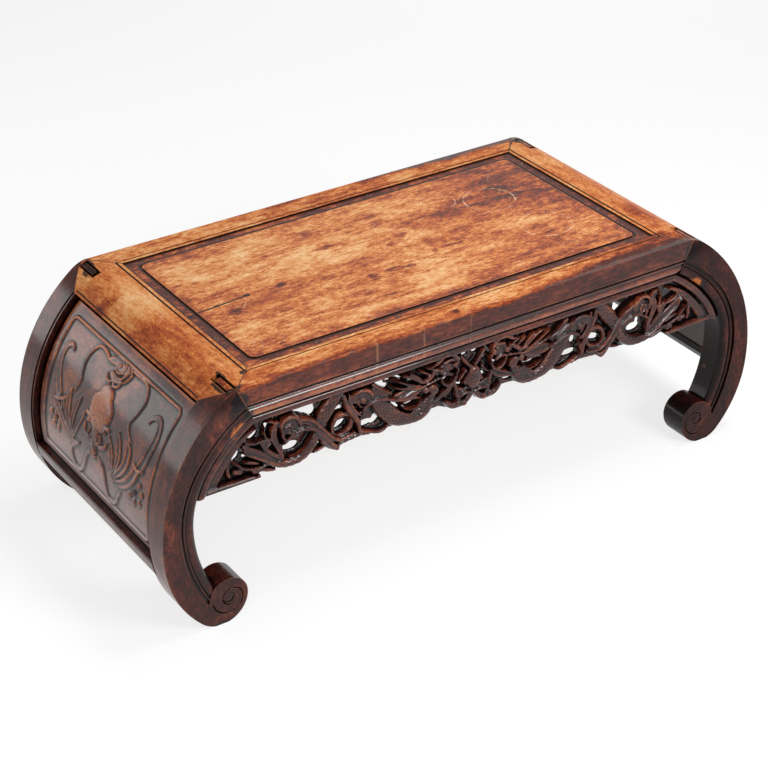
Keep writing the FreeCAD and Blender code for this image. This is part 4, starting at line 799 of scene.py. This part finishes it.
def frame_wood(name, scale, contrast):
    """The frame: worn on top, dark and shining on its faces."""
    g = Graph(name)
    value, fine = grain(g, scale, (2.2, 0, 0.4))
    worn = patched(g, g.plus(g.times(value, contrast), 0.4 * (1 - contrast)), rail_patches)
    worn = g.plus(worn, g.ramp(g.absolute(g.x), 0.350, 0.385, 0.0, 0.16))
    ragged = g.noise((26, 60, 60), 5, 0.7, (1, 7, 2))
    edge = g.minus(g.minus(g.z, TABLE_HEIGHT - TABLE_HALF_DEPTH), g.absolute(g.y))
    edge = g.plus(edge, g.times(ragged, 0.022))
    edge = g.minus(edge, g.ramp(g.x, 0.02, 0.22, 0.0, 0.012))
    side = g.times(g.ramp(edge, 0.012, 0.006), g.ramp(g.absolute(g.x), 0.350, 0.330))
    worn = g.plus(worn, g.ramp(edge, 0.022, 0.008, 0.0, 0.14))
    dark = g.plus(value, g.ramp(g.x, -0.25, 0.15, -0.03, 0.1))
    dark = g.plus(dark, g.ramp(g.z, 0.282, 0.277, 0.0, -0.22))
    colour = g.mix(side, g.tones(worn, worn_tones), g.tones(dark, lacquer_tones))
    colour = mitres(g, marks(g, scratches(g, colour)))
    colour = g.mix(g.times(g.worn_edges(), 0.65), colour, tone(206, 126, 74))
    # Painted shade: the groove by the end rails' lip and the crevices are darkened as if in shadow, with
    # their dirt.
    lip = g.absolute(g.plus(g.absolute(g.x), -FRAME_GROOVE_X))
    lip = g.times(g.ramp(lip, 0.0018, 0.0008), g.ramp(g.absolute(g.y), 0.168, 0.165))
    shade_and_dirt = g.larger(g.ramp(g.crevice_shade(), 0.03, 0.26), g.times(lip, g.facing_up()))
    colour = g.mix(shade_and_dirt, colour, tone(20, 8, 8))
    rough = g.ramp(side, 0.0, 1.0, 0.5, 0.24)
    coat = g.plus(g.ramp(side, 0.0, 1.0, 0.08, 0.5), g.ramp(g.z, 0.289, 0.284, 0.0, 0.45))
    gloss = {"Coat_Weight": coat, "Coat_Roughness": 0.16, "Specular_IOR_Level": 0.08}
    return g.finish(colour, rough, fine, 0.0002, **gloss)


def marks(g, colour):
    """Blue-black stains at the mitres, and the pale runs down the front."""
    edges = g.noise((110, 110, 110), 4, 0.65)
    for x, y, z, *radii in stains:
        blot = g.plus(g.distance((x, y, z), radii), g.times(edges, 1.4))
        colour = g.mix(g.ramp(blot, 1.75, 1.5, 0.0, 0.96), colour, tone(14, 8, 11))
    for x, width in pale_runs:
        run = g.plus(g.absolute(g.minus(g.x, x)), g.times(edges, 0.007))
        run = g.times(g.ramp(run, width + 0.005, width + 0.001), g.ramp(g.y, -0.186, -0.196))
        colour = g.mix(g.times(run, g.ramp(edges, 0.3, 0.6, 0.2, 0.6)), colour, tone(198, 140, 106))
    return colour


def leg_wood():
    g = Graph("leg_wood")
    value, fine = grain(g, (22, 22, 9), (4.2, 0, 0))
    red = g.ramp(g.noise((24, 24, 12), 6, 0.75, (6.1, 2.7, 0), 0.5), 0.48, 0.68, 0.04, -0.16)
    value = g.plus(g.plus(value, red), 0.12)
    # Painted shade on the sides that face in towards the middle, and painted light on the sides that face
    # out.
    outward = g.times(g.math("SIGN", g.x), g.normal[0])
    value = g.plus(value, g.ramp(outward, -0.2, -0.8, 0.0, 0.3))
    value = g.plus(value, g.ramp(outward, 0.2, 0.8, 0.0, -0.12))
    value = g.plus(value, g.ramp(g.x, -0.2, 0.3, 0.05, 0.13))
    colour = g.tones(value, lacquer_tones)
    tenon = g.times(g.facing_up(0.9, 0.99), g.ramp(g.z, 0.309, 0.312))
    hidden = g.ramp(g.distance((-0.343, 0.17, 0.315), (0.02, 0.03, 0.02)), 1.0, 0.8, 0.1, 0.6)
    colour = g.mix(tenon, colour, g.tones(g.plus(value, hidden), worn_tones))
    colour = mitres(g, marks(g, colour))
    for x, y, z, size in orange_patches:
        blot = g.plus(g.distance((x, y, z), (size, size, size)), g.times(fine, 1.2))
        colour = g.mix(g.ramp(blot, 1.7, 1.3, 0.0, 0.85), colour, tone(206, 116, 52))
    colour = g.mix(g.times(g.worn_edges(), 0.6), colour, tone(178, 100, 62))
    # Painted shade in the crevices, with their dirt.
    colour = g.mix(g.ramp(g.crevice_shade(), 0.06, 0.38), colour, tone(16, 7, 7))
    rough = g.ramp(value, 0.2, 0.8, 0.22, 0.36)
    coat = g.times(g.ramp(tenon, 0.0, 1.0, 0.5, 0.05), g.ramp(g.z, 0.284, 0.3, 1.0, 0.3))
    coat = g.times(coat, g.ramp(g.x, -0.2, 0.3, 1.0, 0.5))
    gloss = {"Coat_Weight": coat, "Coat_Roughness": 0.14, "Specular_IOR_Level": 0.05}
    return g.finish(colour, rough, fine, 0.00015, **gloss)


def carved_wood():
    g = Graph("carved_wood")
    value, fine = grain(g, (12, 50, 50), (1.2, 6, 0))
    hollow = g.hollow()
    # Lighter on the crests: worn lacquer, and partly a painted highlight.
    worn = g.ramp(g.noise((22, 40, 40), 4, 0.65), 0.36, 0.62, -0.04, -0.3)
    high = g.times(g.ramp(hollow, -0.05, -1.5), worn)
    value = g.plus(g.plus(value, 0.19), high)
    # Painted shade: darker in the hollows of the carving and in its crevices.
    colour = g.tones(g.plus(value, g.ramp(hollow, -0.1, 0.8, 0.0, 0.55)), lacquer_tones)
    colour = g.mix(g.ramp(g.crevice_shade(0.008), 0.12, 0.5), colour, tone(11, 5, 6))
    rough = g.ramp(value, 0.2, 0.8, 0.18, 0.32)
    gloss = {"Coat_Weight": 0.75, "Coat_Roughness": 0.09, "Specular_IOR_Level": 0.05}
    return g.finish(colour, rough, fine, 0.00015, 0.0, **gloss)


def end_wood():
    g = Graph("end_wood")
    value, fine = grain(g, (30, 10, 30), (5.2, 1, 0))
    hollow = g.hollow()
    # Lighter on the crests: worn lacquer, and partly a painted highlight.
    worn = g.ramp(g.noise((30, 30, 30), 4, 0.65), 0.34, 0.58, 0.0, -0.3)
    high = g.times(g.ramp(hollow, -0.15, -0.9), worn)
    patches = g.ramp(g.noise((14, 14, 14), 5, 0.7, (3, 8, 1)), 0.42, 0.62, -0.2, 0.2)
    value = g.plus(g.plus(value, patches), high)
    for side in (-1, 1):
        worn = g.plus(g.distance((side * 0.416, 0.003, 0.216), (0.035, 0.028, 0.026)), g.times(fine, 0.4))
        value = g.plus(value, g.ramp(worn, 1.4, 0.9, 0.0, -0.26))
    # Lighter on the crests at the top: worn lacquer, and partly a painted highlight on the upper bead.
    value = g.plus(value, g.times(g.ramp(g.z, 0.255, 0.268), g.ramp(hollow, -0.05, -0.5, 0.0, -0.3)))
    # Painted shade: darker in the hollows of the carving.
    value = g.plus(value, g.ramp(hollow, 0.02, 0.5, 0.0, 0.6))
    colour = g.tones(value, lacquer_tones)
    # Painted reflection: the low part of the panels, most on the crests, is mixed with a pale lavender that
    # stands in for the floor's sheen.
    painted_sheen = g.plus(g.z, g.times(g.noise((20, 20, 20), 4, 0.6, (2, 2, 5)), 0.06))
    painted_sheen = g.times(g.ramp(painted_sheen, 0.215, 0.13, 0.0, 0.74), g.ramp(hollow, 0.3, -0.15, 0.3, 1.0))
    colour = g.mix(painted_sheen, colour, tone(192, 168, 163))
    # Painted shade in the crevices, with their dirt.
    colour = g.mix(g.ramp(g.crevice_shade(), 0.12, 0.5), colour, tone(14, 6, 6))
    rough = g.ramp(value, 0.2, 0.8, 0.24, 0.38)
    gloss = {"Coat_Weight": 0.48, "Coat_Roughness": 0.15, "Specular_IOR_Level": 0.15}
    return g.finish(colour, rough, fine, 0.00015, 0.0, **gloss)


def inner_wood():
    g = Graph("inner_wood")
    value, fine = grain(g, (9, 60, 60), (9.2, 0, 0))
    colour = g.mix(g.ramp(value, 0.3, 0.7), tone(134, 88, 58), tone(74, 44, 30))
    colour = g.mix(g.ramp(g.z, 0.304, 0.31), colour, g.mix(value, tone(44, 22, 16), tone(22, 12, 10)))
    # Painted shade in the crevices, with their dirt.
    colour = g.mix(g.ramp(g.crevice_shade(), 0.1, 0.5), colour, tone(26, 14, 10))
    rough = g.ramp(value, 0.3, 0.7, 0.5, 0.7)
    return g.finish(colour, rough, fine, 0.0003, Coat_Weight=0.0, Coat_Roughness=0.3)


def seen_directly(tree):
    """1 for what the camera sees, also in a reflection, and 0 for light that falls on the object."""
    ray = tree.nodes.new("ShaderNodeLightPath")
    total = ray.outputs["Is Camera Ray"]
    for name in ("Is Glossy Ray", "Is Transmission Ray"):
        node = tree.nodes.new("ShaderNodeMath")
        node.operation = "MAXIMUM"
        tree.links.new(total, node.inputs[0])
        tree.links.new(ray.outputs[name], node.inputs[1])
        total = node.outputs[0]
    return total


def floor_material():
    g = Graph("floor")
    speck = g.noise((60, 60, 60), 2, 0.5)
    colour = g.mix(g.ramp(speck, 0.3, 0.7), (0.52, 0.52, 0.52, 1), (0.54, 0.54, 0.54, 1))
    direct = seen_directly(g.tree)
    colour = g.mix(direct, colour, (0.3, 0.3, 0.3, 1))
    shader = g.add("ShaderNodeBsdfPrincipled", {"Base Color": colour, "Roughness": 0.9})
    shader.inputs["Specular IOR Level"].default_value = 0.1
    glow = g.add("ShaderNodeEmission", {"Color": (1, 1, 1, 1)})
    g.put(glow.inputs["Strength"], g.times(direct, FLOOR_GLOW))
    total = g.add("ShaderNodeAddShader")
    g.put(total.inputs[0], shader.outputs[0])
    g.put(total.inputs[1], glow.outputs[0])
    g.add("ShaderNodeOutputMaterial", {"Surface": total.outputs[0]})
    return g.material


def add_floor():
    mesh = bpy.data.meshes.new("floor")
    steps = [-FLOOR_HALF, -FLOOR_HALF / 3, FLOOR_HALF / 3, FLOOR_HALF]
    places = [(x, y, 0.0) for y in steps for x in steps]
    faces = [(j * 4 + i, j * 4 + i + 1, j * 4 + i + 5, j * 4 + i + 4) for j in range(3) for i in range(3)]
    mesh.from_pydata(places, [], faces)
    floor = bpy.data.objects.new("floor", mesh)
    bpy.context.scene.collection.objects.link(floor)
    mesh.materials.append(floor_material())


def add_camera():
    level = math.cos(CAMERA_ELEVATION)
    across, away = math.sin(CAMERA_AZIMUTH) * level, -math.cos(CAMERA_AZIMUTH) * level
    back = Vector((across, away, math.sin(CAMERA_ELEVATION)))
    right = (-back).cross(Vector((0, 0, 1))).normalized()
    up = right.cross(-back)
    turned_right = math.cos(CAMERA_ROLL) * right + math.sin(CAMERA_ROLL) * up
    turned_up = -math.sin(CAMERA_ROLL) * right + math.cos(CAMERA_ROLL) * up
    data = bpy.data.cameras.new("camera")
    data.lens = LENS_MM
    data.sensor_width = SENSOR_MM
    data.clip_start = 0.05
    camera = bpy.data.objects.new("camera", data)
    turn = Matrix((turned_right, turned_up, back)).transposed().to_4x4()
    camera.matrix_world = Matrix.Translation(CAMERA_PLACE) @ turn
    bpy.context.scene.collection.objects.link(camera)
    bpy.context.scene.camera = camera


def add_lamp(name, place, target, size, power):
    data = bpy.data.lights.new(name, "AREA")
    data.shape = "RECTANGLE"
    data.size, data.size_y = size
    data.energy = power
    lamp = bpy.data.objects.new(name, data)
    lamp.location = place
    lamp.rotation_euler = (Vector(target) - Vector(place)).to_track_quat("-Z", "Y").to_euler()
    bpy.context.scene.collection.objects.link(lamp)


def add_world():
    world = bpy.data.worlds.new("studio")
    bpy.context.scene.world = world
    world.use_nodes = True
    tree = world.node_tree
    tree.nodes.clear()
    seen = tree.nodes.new("ShaderNodeBackground")
    seen.inputs["Color"].default_value = (1, 1, 1, 1)
    seen.inputs["Strength"].default_value = 1.0
    light = tree.nodes.new("ShaderNodeBackground")
    light.inputs["Color"].default_value = (1.0, 0.99, 0.98, 1)
    light.inputs["Strength"].default_value = WORLD_LIGHT
    mix = tree.nodes.new("ShaderNodeMixShader")
    out = tree.nodes.new("ShaderNodeOutputWorld")
    tree.links.new(seen_directly(tree), mix.inputs[0])
    tree.links.new(light.outputs[0], mix.inputs[1])
    tree.links.new(seen.outputs[0], mix.inputs[2])
    tree.links.new(mix.outputs[0], out.inputs["Surface"])


finishes = {
    "end_wood": end_wood(),
    "panel_wood": panel_wood(),
    "frame_wood": frame_wood("frame_wood", (8, 26, 26), 1.3),
    "end_rail_wood": frame_wood("end_rail_wood", (30, 8, 26), 0.85),
    "leg_wood": leg_wood(),
    "carved_wood": carved_wood(),
    "inner_wood": inner_wood(),
}
node_finish = {
    "frame_wood": ("front_long_rail", "back_long_rail"),
    "end_rail_wood": ("left_end_rail", "right_end_rail"),
    "panel_wood": ("top_panel",),
    "leg_wood": (
        "front_left_leg", "front_right_leg", "back_left_leg", "back_right_leg",
        "left_lower_rail", "right_lower_rail",
    ),
    "carved_wood": ("front_apron", "back_apron", "left_end_panel", "right_end_panel"),
    "inner_wood": (
        "left_batten", "centre_batten", "right_batten", "tenon_wedges", "lower_rail_pegs", "apron_pegs",
    ),
}
for finish, names in node_finish.items():
    for name in names:
        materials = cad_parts[name].data.materials
        materials.clear()
        materials.append(finishes[finish])

# The front apron, in millimetres. Its left half is drawn and mirrored. An arc is a centre and a radius
APRON_BACK_Y = -175.0
APRON_TOP_Z = 269.8
APRON_LOW_Z = 180.3
APRON_HALF = 400.0
APRON_CELL = 0.8
APRON_GROUND = 4.0
BACK_CELL = 1.5 * APRON_CELL
RIM_WIDTH = 12.0
RIM_HEIGHT = 13.2
RIM_BULGE = 5.4
APRON_ROUNDING = 1.2
APRON_HIGHEST = 18.9
THIGH_END_ANGLE = 53.0
thigh_arc = (210.69, 91.91, 206.86)
knee_arc = (277.27, 142.08, 123.5)


def arch_depth(x, z):
    """How far a place is inside the apron's arched outline."""
    x = np.abs(x)
    top = APRON_TOP_Z - z
    thigh_x, thigh_z, thigh_radius = thigh_arc
    knee_x, knee_z, knee_radius = knee_arc
    thigh = thigh_radius - np.hypot(x - thigh_x, z - thigh_z)
    knee = knee_radius - np.hypot(x - knee_x, z - knee_z)
    heading = np.degrees(np.arctan2(x - knee_x, z - knee_z))
    beside = np.where(x > thigh_x, np.minimum(top, thigh), top)
    return np.where((heading >= THIGH_END_ANGLE) & (x > knee_x), knee, beside)


def apron_relief(cell):
    relief = Relief(-APRON_HALF, 0, APRON_LOW_Z - 0.1, APRON_TOP_Z + 0.4, cell, APRON_GROUND)
    depth = arch_depth(relief.x, relief.z)
    foot, holes = [], []
    for sheet, strokes, sheet_holes, sheet_foot in (
        (LEFT_SHEET, left_strokes, left_holes, left_foot),
        (MIDDLE_SHEET, middle_strokes, middle_holes, middle_foot),
    ):
        draw(relief, sheet, strokes)
        foot += [on_sheet(sheet, x, y) for x, y in sheet_foot]
        for x, y, half_x, half_y, turn in sheet_holes:
            half = [round(steps / sheet[2], 1) for steps in (half_x, half_y)]
            holes.append((*on_sheet(sheet, x, y), *half, turn))
    foot_x, foot_z = zip(*foot)
    ground = relief.z - np.interp(relief.x, foot_x, foot_z)
    for hole in holes:
        ground = np.minimum(ground, relief.hole(*hole))
    solid = np.maximum(relief.solid, np.maximum(ground, RIM_WIDTH - depth))
    relief.solid = np.minimum(np.minimum(solid, depth), relief.z - APRON_LOW_Z)
    bulge = np.sqrt(np.clip(1 - ((depth - RIM_WIDTH / 2) / (RIM_WIDTH / 2)) ** 2, 0, 1))
    rim = np.maximum(relief.height, RIM_HEIGHT + RIM_BULGE * bulge)
    relief.height = np.where(depth < RIM_WIDTH, rim, relief.height)
    rounded_edges(relief, APRON_ROUNDING, APRON_HIGHEST)
    relief.mirror()
    return relief


def front_place(x, z, height):
    return np.stack([x, APRON_BACK_Y - height, z], 1) / 1000


def back_place(x, z, height):
    return front_place(x, z, height) * (-1, -1, 1)


def add_piece(mesh, finish, node):
    """A carved mesh in the place of a node."""
    piece = bpy.data.objects.new(mesh.name, mesh)
    bpy.context.scene.collection.objects.link(piece)
    mesh.materials.append(finishes[finish])
    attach(piece, "root")
    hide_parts(node)


def add_aprons():
    for side, cell, place in (("front", APRON_CELL, front_place), ("back", BACK_CELL, back_place)):
        mesh = carved_mesh(f"carved_{side}_apron", apron_relief(cell), place)
        add_piece(mesh, "carved_wood", f"{side}_apron")


# The curved end panel, in millimetres. Across runs from back to front, up is less than nothing
PANEL_CELL = 1.0
PANEL_HALF = 155.5
PANEL_TOP = -74.7
PANEL_LOW = -291.0
PANEL_TONGUE = 6.6
PANEL_ROUNDING = 1.5
PANEL_BACK_STEP = 8
BOARD_HEIGHT = 13.0
TONGUE_HEIGHT = 7.0
FIELD_HEIGHT = 12.3
FIELD_SLOPE = 3.0
BEAD_HALF = 141.5
BEAD_TOP = -94.4
BEAD_LOW = -278.4
BEAD_CORNER = 9.0
BEAD_RADIUS = 2.5
BEAD_CREST = 15.0
FLANK_START_ANGLE = 36.6
FLANK_START = 51.744
PANEL_BACK_DEPTH = 22.0
flank_arc = (218.894, 124.992, 226.606)


def loop(half_width, top, low, corner, radius):
    """A closed line round a rectangle with rounded corners."""
    turns = []
    for x, z, start in (
        (half_width - corner, top - corner, 0), (-half_width + corner, top - corner, 90),
        (-half_width + corner, low + corner, 180), (half_width - corner, low + corner, 270),
    ):
        for step in range(4):
            turn = math.radians(start + step * 30)
            turns.append((x + corner * math.cos(turn), z + corner * math.sin(turn)))
    points = []
    for (x, z), (next_x, next_z) in zip(turns, turns[1:] + turns[:1]):
        count = max(1, round(math.hypot(next_x - x, next_z - z) / 4))
        points += [(x + (next_x - x) * k / count, z + (next_z - z) * k / count, radius) for k in range(count)]
    points.append(points[0])
    return points


def bat_relief():
    room = PANEL_TONGUE + 2
    reach = PANEL_HALF + room
    relief = Relief(-reach, reach, PANEL_LOW - room, PANEL_TOP + room, PANEL_CELL, BOARD_HEIGHT)
    beside = relief.outside(PANEL_HALF, PANEL_TOP, PANEL_LOW)
    field = np.clip(-relief.outside(BEAD_HALF, BEAD_TOP, BEAD_LOW) / FIELD_SLOPE, 0, 1)
    relief.height = BOARD_HEIGHT + (FIELD_HEIGHT - BOARD_HEIGHT) * field
    relief.solid[:] = 1.0
    relief.stroke("round", BEAD_CREST, loop(BEAD_HALF, BEAD_TOP, BEAD_LOW, BEAD_CORNER, BEAD_RADIUS))
    draw(relief, END_SHEET, bat_strokes)
    edge = np.clip(-beside / PANEL_ROUNDING, 0, 1)
    rounding = PANEL_ROUNDING * (1 - np.sqrt(np.clip(1 - (1 - edge) ** 2, 0, 1)))
    relief.height = np.where(beside < 0, relief.height - rounding, TONGUE_HEIGHT)
    relief.height = blur(relief.height)
    relief.solid = PANEL_TONGUE - beside
    return relief


def end_place(x, z, height):
    middle_x, middle_z, radius = flank_arc
    turn = np.radians(FLANK_START_ANGLE) + (-z - FLANK_START) / radius
    reach = radius - PANEL_BACK_DEPTH + height
    return np.stack([-middle_x - reach * np.sin(turn), -x, middle_z + reach * np.cos(turn)], 1) / 1000


def add_end_panels():
    relief = bat_relief()
    for side, flipped in (("left", False), ("right", True)):
        mesh = carved_mesh(f"carved_{side}_end_panel", relief, end_place, flipped, PANEL_BACK_STEP)
        add_piece(mesh, "end_wood", f"{side}_end_panel")


add_aprons()
add_end_panels()
add_floor()
add_camera()
add_world()

# Lamps: name, place, what it shines at, width and height in metres, and watts
for lamp in (
    ("overhead", (0.5, -0.1, 1.9), (0, 0, 0.2), (1.2, 0.6), 18),
    ("key", (-1.5, -1.6, 1.5), (0, 0, 0.2), (0.7, 0.7), 9),
    ("strip", (0.4, -1.65, 1.1), (0, -0.1, 0.28), (0.8, 0.45), 19),
    ("left_back", (-1.5, 1.3, 0.6), (-0.2, 0.2, 0.15), (1.4, 0.7), 8),
    ("right_back", (1.5, 1.6, 0.35), (0.3, 0.1, 0.25), (1.6, 0.8), 2.5),
):
    add_lamp(*lamp)
bpy.context.scene.view_settings.view_transform = "Standard"
